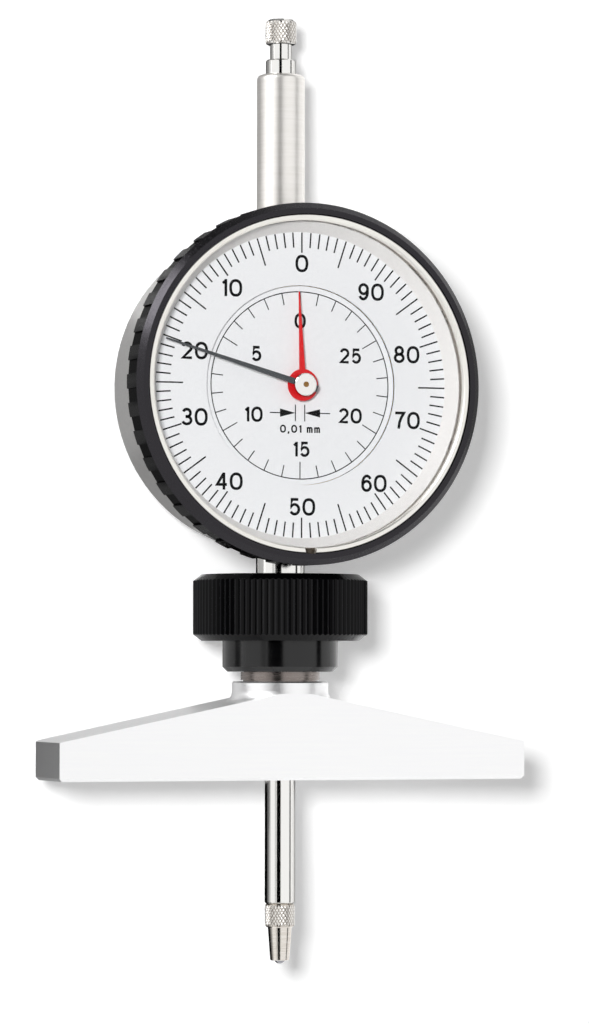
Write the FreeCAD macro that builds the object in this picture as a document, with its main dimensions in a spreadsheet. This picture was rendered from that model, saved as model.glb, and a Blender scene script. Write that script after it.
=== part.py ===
"""Dial depth gauge: a dial indicator clamped by its stem in a bridge-shaped measuring base.

Millimetres. The origin is the centre of the measuring face, on the plunger's axis.
+Y runs up the plunger, +X along the base and +Z out of the dial.
"""
import FreeCAD, Part
import math
import os
import re
import Sketcher

Vector = FreeCAD.Vector

SIZES = {
    # measuring base
    "base_length": 80.0,
    "base_depth": 16.0,
    "base_end_height": 6.25,
    "base_slope": 11.8,
    "base_apex_radius": 30.0,
    "base_edge": 0.5,
    "base_rear_radius": 2.5,
    "base_hole_radius": 3.5,
    "collar_radius": 7.9,
    "collar_top": 16.05,
    "collar_edge": 0.25,
    "collar_foot_radius": 2.0,
    # split collet in the base
    "collet_foot": 3.0,
    "collet_spigot_radius": 5.5,
    "collet_undercut_radius": 6.1,
    "collet_undercut_height": 0.25,
    "collet_flange_radius": 6.5,
    "collet_flange_height": 1.3,
    "collet_thread_radius": 6.0,
    "collet_thread_height": 12.8,
    "collet_taper_height": 2.0,
    "collet_tip_radius": 5.0,
    "collet_slot_width": 0.8,
    "collet_slot_depth": 11.0,
    # clamp nut
    "nut_lift": 0.05,
    "nut_hub_radius": 9.5,
    "nut_hub_height": 5.05,
    "nut_hub_edge": 0.8,
    "nut_head_radius": 14.35,
    "nut_head_height": 10.9,
    "nut_edge_width": 1.4,
    "nut_edge_height": 1.1,
    "nut_eye_radius": 4.7,
    "nut_thread_play": 0.05,
    "flute_count": 90,
    "flute_depth": 0.34,
    # stem, upper tube and plunger guides
    "stem_radius": 4.0,
    "stem_play": 0.02,
    "stem_bore_radius": 3.2,
    "stem_foot": 4.0,
    "stem_foot_edge": 0.4,
    "lower_bush_length": 8.0,
    "tube_radius": 3.95,
    "tube_bore_radius": 3.1,
    "tube_eye_radius": 2.75,
    "tube_length": 25.3,
    "tube_lid": 1.4,
    "tube_edge_radius": 0.8,
    "upper_bush_length": 8.0,
    "rod_radius": 2.5,
    "rod_play": 0.02,
    "rod_edge": 0.2,
    # plunger and its ends
    "rod_show": 2.5,
    "plunger_out": 30.204,
    "stud_radius": 1.25,
    "stud_length": 5.0,
    "contact_length": 9.9,
    "contact_collar_radius": 2.5,
    "contact_collar_length": 3.9,
    "contact_collar_edge": 0.25,
    "contact_cone_radius": 1.9,
    "contact_tip_radius": 1.575,
    "contact_cone_lift": 0.6,
    "ball_radius": 1.0,
    "knob_collar_radius": 2.52,
    "knob_collar_length": 1.1,
    "knob_neck_radius": 1.8,
    "knob_neck_length": 1.5,
    "knob_head_radius": 2.6,
    "knob_head_length": 4.1,
    "knob_edge": 0.35,
    # rack and guide pin
    "rack_pitch": 1.0,
    "rack_line": 1.9,
    "rack_teeth_above": 2,
    "rack_teeth_below": 32,
    "pin_radius": 0.75,
    "pin_drop": 11.7,
    "pin_root": 0.5,
    "pin_reach": 7.6,
    "pin_play": 0.03,
    # case
    "stem_show": 4.1,
    "case_radius": 26.5,
    "case_back": -7.5,
    "case_back_radius": 0.8,
    "neck_step": 1.0,
    "case_wall": 2.2,
    "ledge_width": 2.8,
    "ledge_height": 2.9,
    "stem_seat": 1.9,
    "passage_radius": 2.8,
    "cover_margin": 2.55,
    "cover_thickness": 1.2,
    "cover_edge": 0.2,
    "cover_play": 0.05,
    "screw_inset": 3.75,
    "screw_radius": 0.6,
    "screw_head_radius": 1.05,
    "screw_head_height": 0.6,
    "screw_length": 3.2,
    "screw_slot": 0.3,
    # movement plates
    "plate_play": 0.1,
    "plate_thickness": 1.0,
    "bridge_margin": 2.0,
    "bridge_back": 7.4,
    "bridge_thickness": 1.0,
    "pillar_offset": 5.5,
    "pillar_radius": 1.5,
    "pillar_turn": 50.0,
    "cock_gap": 0.4,
    "cock_thickness": 1.0,
    "cock_offset": 6.6,
    "cock_spread": 3.8,
    "cock_leg_radius": 1.2,
    "rail_inner": 3.4,
    "rail_outer": 5.4,
    "rail_half_depth": 1.8,
    "rail_wall": 0.9,
    "post_radius": 0.6,
    "post_reach": 1.0,
    "post_drop": 18.8,
    "post_across": 6.9,
    # gear train
    "pinion_teeth": 10,
    "pinion_half_width": 1.5,
    "gear_module": 0.25,
    "gear_teeth": 80,
    "centre_teeth": 8,
    "gear_back": 4.3,
    "gear_thickness": 0.6,
    "counter_drive_teeth": 15,
    "counter_teeth": 45,
    "counter_back": 6.3,
    "counter_thickness": 0.6,
    "arbor_radius": 0.75,
    "pivot_radius": 0.4,
    "pivot_play": 0.03,
    "centre_arbor_radius": 0.55,
    "counter_tube_radius": 1.25,
    "coil_inner_radius": 1.22,
    "coil_outer_radius": 5.2,
    "coil_turns": 4,
    "coil_back": 5.4,
    "coil_strip": 0.12,
    "coil_width": 0.4,
    "coil_play": 0.05,
    "coil_stud_radius": 0.5,
    "hand_pin_radius": 0.45,
    "hand_pin_proud": 0.07,
    "end_shake": 0.05,
    "return_wire_radius": 0.17,
    "return_coil_radius": 1.1,
    "return_turns": 7,
    "hook_radius": 1.0,
    # hands
    "hand_angle": 73.44,
    "counter_angle": 2.45,
    "counter_hand_back": 10.95,
    "counter_hand_thickness": 0.2,
    "counter_hub_radius": 2.6,
    "counter_hand_gap": 1.0,
    "counter_hand_width": 1.15,
    "counter_tip_width": 0.15,
    "main_hand_back": 11.85,
    "main_hand_thickness": 0.25,
    "main_hub_radius": 1.7,
    "main_hand_gap": 0.3,
    "main_hand_tail": 2.3,
    "main_hand_width": 1.1,
    "main_tip_width": 0.25,
    "cap_radius": 1.85,
    "cap_height": 0.65,
    "cap_edge": 0.15,
    # dials
    "outer_dial_face": 10.5,
    "dial_thickness": 0.5,
    "inner_dial_drop": 0.8,
    "inner_dial_radius": 16.2,
    "dial_play": 0.05,
    "dial_eye_radius": 1.6,
    "dial_foot_radius": 0.6,
    "dial_foot_offset": 9.0,
    # bezel, crystal and its ring
    "bezel_overhang": 2.85,
    "bezel_back": 9.0,
    "bezel_front": 15.4,
    "bezel_step": 1.0,
    "bezel_play": 0.05,
    "bezel_shelf_play": 0.1,
    "bezel_shelf_height": 0.3,
    "bezel_back_edge": 0.3,
    "bezel_edge_width": 0.95,
    "bezel_edge_height": 0.95,
    "notch_count": 40,
    "notch_share": 0.5,
    "notch_depth": 0.35,
    "notch_front": 14.4,
    "wire_radius": 0.18,
    "wire_gap_angle": 8.0,
    "rim_width": 2.6,
    "rim_top_width": 1.1,
    "crystal_back": 12.9,
    "crystal_thickness": 0.7,
    "crystal_play": 0.02,
    "ring_width": 1.0,
    "ring_front": 15.2,
    "ring_edge": 0.2,
    "ring_gap": 2.3,
    "ring_gap_slant": 16.0,
}

PLACES = {
    # heights along the plunger
    "dial_height": "nut_top + stem_show + case_radius",
    "tube_top": "dial_height + case_radius + tube_length",
    "pin_height": "dial_height - pin_drop",
    "post_height": "dial_height - post_drop",
    "collar_foot_top": "base_end_height + (base_length / 2 - collar_radius - collar_foot_radius)"
                       " * tan(base_slope) + collar_foot_radius",
    "flange_back": "collar_top + collet_undercut_height",
    "flange_top": "flange_back + collet_flange_height",
    "thread_top": "flange_top + collet_thread_height",
    "collet_top": "thread_top + collet_taper_height",
    "nut_foot": "flange_top + nut_lift",
    "nut_waist": "nut_foot + nut_hub_height",
    "nut_top": "nut_waist + nut_head_height",
    "rod_foot": "contact_length - plunger_out",
    "rod_head": "tube_top + rod_show",
    "ball_height": "ball_radius - plunger_out",
    # radii of the case, the bezel and what they hold
    "case_bore_radius": "case_radius - case_wall",
    "ledge_bore_radius": "case_bore_radius - ledge_width",
    "neck_radius": "case_radius - neck_step",
    "cover_radius": "case_radius - cover_margin",
    "screw_circle": "case_radius - screw_inset",
    "plate_radius": "case_bore_radius - plate_play",
    "bezel_radius": "case_radius + bezel_overhang",
    "bezel_bore_radius": "case_radius + bezel_step",
    "bezel_shelf_radius": "case_bore_radius + bezel_shelf_play",
    "rim_inner_radius": "bezel_bore_radius - rim_width",
    "rim_top_radius": "bezel_bore_radius - rim_top_width",
    "ring_inner_radius": "bezel_bore_radius - ring_width",
    "main_hand_length": "rim_inner_radius - main_hand_gap",
    "counter_hand_length": "inner_dial_radius - counter_hand_gap",
    # depths in front of and behind the plunger
    "case_front": "bezel_back - bezel_play",
    "neck_front": "shelf_back - bezel_play",
    "plate_front": "ledge_height + plate_thickness",
    "bridge_front": "bridge_back + bridge_thickness",
    "gear_front": "gear_back + gear_thickness",
    "counter_front": "counter_back + counter_thickness",
    "cock_front": "0 - rod_radius - cock_gap",
    "cock_back": "cock_front - cock_thickness",
    "cover_front": "case_back + cover_thickness",
    "inner_dial_face": "outer_dial_face - inner_dial_drop",
    "inner_dial_back": "inner_dial_face - dial_thickness",
    "outer_dial_back": "outer_dial_face - dial_thickness",
    "counter_hand_front": "counter_hand_back + counter_hand_thickness",
    "main_hand_front": "main_hand_back + main_hand_thickness",
    "cap_front": "main_hand_front + cap_height",
    "crystal_front": "crystal_back + crystal_thickness",
    "shelf_back": "outer_dial_back - bezel_shelf_height",
    "bezel_lip_radius": "neck_radius + bezel_play",
    "wire_depth": "(bezel_back + neck_front) / 2",
    # the train's axes, seen from the front
    "pinion_radius": "pinion_teeth * rack_pitch / (2 * pi)",
    "train_offset": "rack_line + pinion_radius",
    "train_spacing": "(gear_teeth + centre_teeth) * gear_module / 2",
    "train_drop": "sqrt(train_spacing * train_spacing - train_offset * train_offset)",
    "counter_module": "2 * train_spacing / (counter_teeth + counter_drive_teeth)",
    "pillar_circle": "train_spacing + pillar_offset",
    "bridge_radius": "pillar_circle + bridge_margin",
    "train_height": "dial_height - train_drop",
    "takeup_height": "dial_height + train_drop",
    # plunger guide
    "slot_low": "pin_height - pin_radius - pin_play - rail_wall",
    "slot_high": "pin_height + plunger_out + pin_radius + pin_play + rail_wall",
}

NEAR = 1e-4
NOTCH_OVERCUT = 0.1
NOTCH_PHASE = 0.5
RING_OVERCUT = 0.2
SPIRAL_STEPS = 18
COIL_STEPS = 8
LOOP_STEPS = 6
LOOP_TURN = 300
WIRE_SIDES = 6
WIRE_STEPS = 48
FORMULA_WORD = re.compile(r"[a-z_]\w*")
TOOTH_ADDENDUM = 0.9
TOOTH_DEDENDUM = 1.2
TOOTH_SHARES = {"root": 0.28, "tip": 0.11}

doc = FreeCAD.newDocument("dial_depth_gauge")
sheet = doc.addObject("Spreadsheet::Sheet", "sizes")
nodes = []


def fill_sheet():
    """Writes each driving size as a plain number with its name as alias."""
    for row, (name, size) in enumerate(SIZES.items(), start=1):
        sheet.set(f"A{row}", name)
        sheet.set(f"B{row}", str(size))
        sheet.setAlias(f"B{row}", name)
    doc.recompute()


def formula(text):
    """Writes a formula of plain names as one of the sheet's cells."""
    def cell(word):
        name = word.group()
        if name in PLACES:
            return "(" + formula(PLACES[name]) + ")"
        return "sizes." + name if name in SIZES else name
    return FORMULA_WORD.sub(cell, str(text))


def number(text):
    """Works a formula out."""
    result = sheet.evalExpression(formula(text))
    return float(getattr(result, "Value", result))


def point(across, along):
    return Vector(number(across), number(along), 0)


def node(feature, label):
    """Keeps a finished piece, under the name that it is stored by."""
    feature.Label = label
    nodes.append(feature)
    return feature


def origin_plane(body, role):
    for feature in body.Origin.OriginFeatures:
        if feature.Role == role:
            return feature


def arc_between(start, end, radius):
    """The arc from start to end, centred on the left of the way for a positive radius."""
    middle = (start + end) / 2
    way = end - start
    side = Vector(-way.y, way.x, 0).normalize()
    height = math.sqrt(max(radius * radius - way.Length ** 2 / 4, 0))
    centre = middle + side * math.copysign(height, radius)
    first, last = (start, end) if radius > 0 else (end, start)
    begin = math.atan2(first.y - centre.y, first.x - centre.x)
    finish = math.atan2(last.y - centre.y, last.x - centre.x)
    if finish < begin:
        finish += 2 * math.pi
    return Part.ArcOfCircle(Part.Circle(centre, Vector(0, 0, 1), abs(radius)), begin, finish)


def draw(sketch, outline):
    """Closes an outline whose corners are pairs of formulas, each tied to its cells.

    A third formula makes the stretch that leaves the corner an arc of that radius,
    centred on its left, or on its right where the formula has a minus sign.
    """
    corners = [point(corner[0], corner[1]) for corner in outline]
    leaving = []
    arriving = []
    arcs = []
    for index, corner in enumerate(outline):
        start = corners[index]
        end = corners[(index + 1) % len(corners)]
        turned_back = len(corner) == 3 and corner[2].startswith("-")
        leaving.append(2 if turned_back else 1)
        arriving.append(1 if turned_back else 2)
        if len(corner) == 2:
            sketch.addGeometry(Part.LineSegment(start, end))
        else:
            sketch.addGeometry(arc_between(start, end, number(corner[2])))
            arcs.append((index, corner[2].lstrip("-")))
    for index in range(len(corners)):
        after = (index + 1) % len(corners)
        sketch.addConstraint(Sketcher.Constraint("Coincident", index, arriving[index], after, leaving[after]))
    for index, corner in enumerate(outline):
        for kind, text in (("DistanceX", corner[0]), ("DistanceY", corner[1])):
            size = Sketcher.Constraint(kind, -1, 1, index, leaving[index], number(text))
            bind(sketch, sketch.addConstraint(size), text)
    for index, text in arcs:
        bind(sketch, sketch.addConstraint(Sketcher.Constraint("Radius", index, number(text))), text)


def bind(sketch, constraint, text):
    sketch.setExpression(f"Constraints[{constraint}]", formula(text))


def sketch_on(body, role, name):
    sketch = body.newObject("Sketcher::SketchObject", name)
    sketch.AttachmentSupport = (origin_plane(body, role), [""])
    sketch.MapMode = "FlatFace"
    return sketch


def dressed(body, kind, size, chosen):
    """Fillets or chamfers the edges of a body whose boxes are chosen."""
    doc.recompute()
    base = body.Tip
    edges = [f"Edge{index}" for index, edge in enumerate(base.Shape.Edges, start=1) if chosen(edge.BoundBox)]
    feature = body.newObject("PartDesign::" + kind, f"{body.Name}_{kind.lower()}")
    feature.Base = (base, edges)
    feature.setExpression("Radius" if kind == "Fillet" else "Size", formula(size))
    body.Tip = feature


def sit(feature, across, height, depth="0", turn=None):
    """Ties a piece's place to the cells, with its axis turned if need be."""
    if turn is not None:
        feature.Placement.Rotation = turn
    for axis, text in (("x", across), ("y", height), ("z", depth)):
        feature.setExpression(f"Placement.Base.{axis}", formula(text))
    return feature


UPRIGHT_TO_FRONT = FreeCAD.Rotation(Vector(1, 0, 0), 90)
FRONT_TO_UPRIGHT = FreeCAD.Rotation(Vector(1, 0, 0), -90)
FRONT_TO_ACROSS = FreeCAD.Rotation(Vector(0, 1, 0), 90)


def turned(name, outline):
    """A piece turned about the plunger's axis; corners are radius and height."""
    body = doc.addObject("PartDesign::Body", name)
    sketch = sketch_on(body, "XY_Plane", name + "_outline")
    draw(sketch, outline)
    turning = body.newObject("PartDesign::Revolution", name + "_turning")
    turning.Profile = sketch
    turning.ReferenceAxis = (sketch, ["V_Axis"])
    turning.Angle = 360
    return body


def turned_front(name, outline, across="0", height="dial_height"):
    """A piece turned about an axis that points out of the dial; corners are radius and depth."""
    return sit(turned(name, outline), across, height, "0", UPRIGHT_TO_FRONT)


def ring_outline(inner, outer, low, high, edge=None):
    """Corners of a plain ring, its far outer edge broken by a chamfer where one is given."""
    if edge is None:
        return [(inner, low), (outer, low), (outer, high), (inner, high)]
    return [(inner, low), (outer, low), (outer, f"{high} - {edge}"), (f"{outer} - {edge}", high), (inner, high)]


def rod(name, radius, low, high, way="front", first="0", second="0"):
    """A cylinder from low to high, on an axis that goes to the front, upright or across.

    The first and second formulas place the axis, in the order x, y, z.
    """
    feature = doc.addObject("Part::Cylinder", name)
    feature.setExpression("Radius", formula(radius))
    feature.setExpression("Height", formula(f"({high}) - ({low})"))
    if way == "front":
        return sit(feature, first, second, low)
    if way == "upright":
        return sit(feature, first, low, second, FRONT_TO_UPRIGHT)
    return sit(feature, low, first, second, FRONT_TO_ACROSS)


def block(name, left, right, low, high, back, front):
    feature = doc.addObject("Part::Box", name)
    feature.setExpression("Length", formula(f"({right}) - ({left})"))
    feature.setExpression("Width", formula(f"({high}) - ({low})"))
    feature.setExpression("Height", formula(f"({front}) - ({back})"))
    return sit(feature, left, low, back)


def group(name, pieces):
    feature = doc.addObject("Part::Compound", name)
    feature.Links = pieces
    return feature


def cut(name, base, tools):
    """The base less each of the tools."""
    feature = doc.addObject("Part::Cut", name)
    feature.Base = base
    feature.Tool = tools[0] if len(tools) == 1 else group(name + "_tools", tools)
    return feature


def joined(name, pieces):
    feature = doc.addObject("Part::MultiFuse", name)
    feature.Shapes = pieces
    return feature


def shaped(name, shape):
    """A piece whose form is worked out from the sheet."""
    feature = doc.addObject("Part::Feature", name)
    feature.Shape = shape
    return feature


def prism(corners, height):
    """A solid of flat sides from a closed row of corners, raised along +Z."""
    wire = Part.makePolygon(corners + [corners[0]])
    return Part.Face(wire).extrude(Vector(0, 0, height))


def around(radius, angle, height=0):
    """A point on a circle, its angle in degrees from +X."""
    turn = math.radians(angle)
    return Vector(radius * math.cos(turn), radius * math.sin(turn), height)



def measuring_base():
    """The bridge with its collar and the stepped bore for the collet."""
    bar = doc.addObject("PartDesign::Body", "bridge_bar")
    outline = sketch_on(bar, "XY_Plane", "bridge_outline")
    apex = "base_end_height + base_length / 2 * tan(base_slope)"
    tangent = "base_apex_radius * tan(base_slope / 2)"
    draw(outline, [
        ("-base_length / 2", "0"),
        ("base_length / 2", "0"),
        ("base_length / 2", "base_end_height"),
        (f"{tangent} * cos(base_slope)", f"{apex} - {tangent} * sin(base_slope)", "base_apex_radius"),
        (f"-{tangent} * cos(base_slope)", f"{apex} - {tangent} * sin(base_slope)"),
        ("-base_length / 2", "base_end_height"),
    ])
    pad = bar.newObject("PartDesign::Pad", "bridge_pad")
    pad.Profile = outline
    pad.Midplane = True
    pad.setExpression("Length", formula("base_depth"))
    reach = number("base_length") / 2
    back = -number("base_depth") / 2
    dressed(bar, "Fillet", "base_rear_radius", lambda box: abs(box.ZMax - back) < NEAR
            and box.XLength < NEAR and abs(abs(box.XMin) - reach) < NEAR)
    dressed(bar, "Chamfer", "base_edge", lambda box: box.YMax < NEAR)
    collar = turned("bridge_collar", [
        ("0", "collet_foot"),
        ("collar_radius + collar_foot_radius", "collet_foot"),
        ("collar_radius + collar_foot_radius", "collar_foot_top - collar_foot_radius", "-collar_foot_radius"),
        ("collar_radius", "collar_foot_top"),
        ("collar_radius", "collar_top - collar_edge"),
        ("collar_radius - collar_edge", "collar_top"),
        ("0", "collar_top"),
    ])
    faces = block("bridge_faces", "-base_length / 2", "base_length / 2", "0", "collar_top",
                  "-base_depth / 2", "base_depth / 2")
    foot = doc.addObject("Part::Common", "bridge_collar_foot")
    foot.Base = collar
    foot.Tool = faces
    hole = rod("bridge_hole", "base_hole_radius", "-base_edge", "collet_foot", "upright")
    seat = rod("bridge_seat", "collet_spigot_radius", "collet_foot", "collar_top + collar_edge", "upright")
    node(cut("bridge", joined("bridge_blank", [bar, foot]), [hole, seat]), "base_bridge")


def collet():
    """The steel collet that the clamp nut closes on the stem."""
    bore = "stem_radius + stem_play"
    blank = turned("collet_blank", [
        (bore, "collet_foot"),
        ("collet_spigot_radius", "collet_foot"),
        ("collet_spigot_radius", "collar_top"),
        ("collet_undercut_radius", "collar_top"),
        ("collet_undercut_radius", "flange_back"),
        ("collet_flange_radius", "flange_back"),
        ("collet_flange_radius", "flange_top"),
        ("collet_thread_radius", "flange_top"),
        ("collet_thread_radius", "thread_top"),
        ("collet_tip_radius", "collet_top"),
        (bore, "collet_top"),
    ])
    width = "collet_slot_width / 2"
    reach = "collet_flange_radius"
    low = "collet_top - collet_slot_depth"
    high = "collet_top + collet_slot_width"
    slots = [
        block("collet_slot_across", f"-{reach}", reach, low, high, f"-{width}", width),
        block("collet_slot_deep", f"-{width}", width, low, high, f"-{reach}", reach),
    ]
    node(cut("collet", blank, slots), "clamp_collet")


def clamp_nut():
    """The fluted nut: a tapered mouth inside draws the collet's fingers together."""
    bore = "collet_thread_radius + nut_thread_play"
    blank = turned("nut_blank", [
        (bore, "nut_foot"),
        ("nut_hub_radius - nut_hub_edge", "nut_foot"),
        ("nut_hub_radius", "nut_foot + nut_hub_edge"),
        ("nut_hub_radius", "nut_top"),
        ("nut_eye_radius", "nut_top"),
        ("nut_eye_radius", "collet_top + nut_thread_play"),
        ("collet_tip_radius + nut_thread_play", "collet_top + nut_thread_play"),
        (bore, "thread_top + nut_thread_play"),
    ])
    star = sit(shaped("nut_star", fluted_prism()), "0", "nut_waist", "0", FRONT_TO_UPRIGHT)
    bore_fill = rod("nut_star_eye", "nut_hub_radius", "nut_waist", "nut_top", "upright")
    rim = cut("nut_rim", star, [bore_fill])
    node(joined("nut", [blank, rim]), "clamp_nut")


def fluted_prism():
    """The nut's head: V grooves round its middle, fading into a bevel at each end."""
    count = round(number("flute_count"))
    ridge = number("nut_head_radius")
    floor = number("nut_head_radius - flute_depth")
    face = number("nut_head_radius - nut_edge_width")
    top = number("nut_head_height")
    edge = number("nut_edge_height")
    fade = edge * number("flute_depth") / number("nut_edge_width")
    turn = 360 / count
    rings = []
    for radius, height, shift in ((face, 0, 0.5), (floor, edge - fade, 0.5), (ridge, edge, 0),
                                  (ridge, top - edge, 0), (floor, top - edge + fade, 0.5), (face, top, 0.5)):
        rings.append([around(radius, (index + shift) * turn, height) for index in range(count)])
    faces = [Part.Face(Part.makePolygon(ring + [ring[0]])) for ring in (rings[0], rings[-1])]
    corners = []
    for index in range(count):
        after = (index + 1) % count
        foot, low, ridge_low, ridge_high, high, head = rings
        corners += [
            (foot[index], foot[after], low[after], low[index]),
            (low[index], low[after], ridge_low[after]),
            (low[index], ridge_low[after], ridge_high[after], high[index]),
            (low[after], high[after], ridge_high[after], ridge_low[after]),
            (high[index], ridge_high[after], high[after]),
            (high[index], high[after], head[after], head[index]),
        ]
    faces += [Part.Face(Part.makePolygon(list(face) + [face[0]])) for face in corners]
    return Part.makeSolid(Part.makeShell(faces))


def stem_and_tube():
    """The clamping stem, the upper tube and the bushes that guide the plunger."""
    seat_low = "dial_height - case_radius + stem_seat"
    seat_high = "dial_height + case_radius - stem_seat"
    guide = "rod_radius + rod_play"
    node(turned("stem_turning", [
        ("stem_bore_radius", "stem_foot"),
        ("stem_radius - stem_foot_edge", "stem_foot"),
        ("stem_radius", "stem_foot + stem_foot_edge"),
        ("stem_radius", seat_low),
        ("stem_bore_radius", seat_low),
    ]), "stem")
    node(turned("lower_bush_turning", ring_outline(
        guide, "stem_bore_radius", "stem_foot", "stem_foot + lower_bush_length")), "lower_bush")
    node(turned("tube_turning", [
        ("tube_bore_radius", seat_high),
        ("tube_radius", seat_high),
        ("tube_radius", "tube_top - tube_edge_radius", "tube_edge_radius"),
        ("tube_radius - tube_edge_radius", "tube_top"),
        ("tube_eye_radius", "tube_top"),
        ("tube_eye_radius", "tube_top - tube_lid"),
        ("tube_bore_radius", "tube_top - tube_lid"),
    ]), "upper_tube")
    node(turned("upper_bush_turning", ring_outline(
        guide, "tube_bore_radius", "tube_top - tube_lid - upper_bush_length", "tube_top - tube_lid")), "upper_bush")


def on_circle(circle, angle):
    """Place of a point on a circle round the dial's axis."""
    return f"({circle}) * cos({angle})", f"dial_height + ({circle}) * sin({angle})"


def screws(name, circle, angles, seat, way, slotted=False):
    """Screws on a circle, their heads on the seat and their shanks along the way."""
    pieces = []
    for index, angle in enumerate(angles):
        first, second = on_circle(circle, angle)
        label = f"{name}_{index}"
        head_face = f"({seat}) - ({way}) * screw_head_height"
        tip = f"({seat}) + ({way}) * screw_length"
        floor = f"({head_face}) + ({way}) * screw_head_height / 2"
        ends = sorted([seat, head_face], key=number)
        head = rod(label + "_head", "screw_head_radius", *ends, "front", first, second)
        ends = sorted([seat, tip], key=number)
        shank = rod(label + "_shank", "screw_radius", *ends, "front", first, second)
        screw = joined(label, [head, shank])
        if slotted:
            ends = sorted([head_face, floor], key=number)
            slot = block(label + "_slot", f"{first} - screw_head_radius", f"{first} + screw_head_radius",
                         f"{second} - screw_slot / 2", f"{second} + screw_slot / 2", *ends)
            screw = cut(label + "_slotted", screw, [slot])
        pieces.append(screw)
    return group(name, pieces)


def holes(name, radius, circle, angles, low, high):
    places = [on_circle(circle, angle) for angle in angles]
    return [rod(f"{name}_{index}", radius, low, high, "front", first, second)
            for index, (first, second) in enumerate(places)]


COVER_ANGLES = ["45", "135", "225", "315"]
PLATE_ANGLES = ["0", "120", "240"]
TRAIN_TURN = "(atan2(train_drop; train_offset) / 1 deg)"
PILLAR_ANGLES = [f"{TRAIN_TURN} + {half} + {side} * pillar_turn" for half in ("0", "180") for side in ("1", "-1")]


def case():
    """The case, with the stem and tube seated in its wall, and its screwed back cover."""
    groove = "(wire_radius + bezel_play)"
    blank = turned_front("case_turning", [
        ("ledge_bore_radius", "cover_front"),
        ("cover_radius + cover_play", "cover_front"),
        ("cover_radius + cover_play", "case_back"),
        ("case_radius - case_back_radius", "case_back", "case_back_radius"),
        ("case_radius", "case_back + case_back_radius"),
        ("case_radius", "case_front"),
        ("neck_radius", "case_front"),
        ("neck_radius", f"wire_depth - {groove}"),
        (f"neck_radius - {groove}", f"wire_depth - {groove}"),
        (f"neck_radius - {groove}", f"wire_depth + {groove}"),
        ("neck_radius", f"wire_depth + {groove}"),
        ("neck_radius", "neck_front"),
        ("case_bore_radius", "neck_front"),
        ("case_bore_radius", "ledge_height"),
        ("ledge_bore_radius", "ledge_height"),
    ])
    outside = "(case_radius + stem_seat)"
    tools = [
        rod("case_passage", "passage_radius", f"dial_height - {outside}", f"dial_height + {outside}", "upright"),
        rod("case_stem_seat", "stem_radius", f"dial_height - {outside}",
            "dial_height - case_radius + stem_seat", "upright"),
        rod("case_tube_seat", "tube_radius", "dial_height + case_radius - stem_seat",
            f"dial_height + {outside}", "upright"),
    ]
    head_seat = "case_back + cover_play + screw_head_height"
    tools += holes("case_cover_hole", "screw_radius", "screw_circle", COVER_ANGLES,
                   "cover_front", f"{head_seat} + screw_length")
    tools += holes("case_plate_hole", "screw_radius", "screw_circle", PLATE_ANGLES,
                   "plate_front - screw_length", "ledge_height")
    node(cut("case_body", blank, tools), "case")
    cover = turned_front("cover_turning", [
        ("0", "case_back"),
        ("cover_radius - cover_edge", "case_back"),
        ("cover_radius", "case_back + cover_edge"),
        ("cover_radius", "cover_front"),
        ("0", "cover_front"),
    ])
    tools = holes("cover_hole", "screw_radius", "screw_circle", COVER_ANGLES, "case_back", "cover_front")
    tools += holes("cover_sink", "screw_head_radius + cover_play", "screw_circle", COVER_ANGLES,
                   "case_back", head_seat)
    node(cut("cover", cover, tools), "back_cover")
    node(screws("cover_screws", "screw_circle", COVER_ANGLES, head_seat, "1", True), "back_screws")


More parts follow.
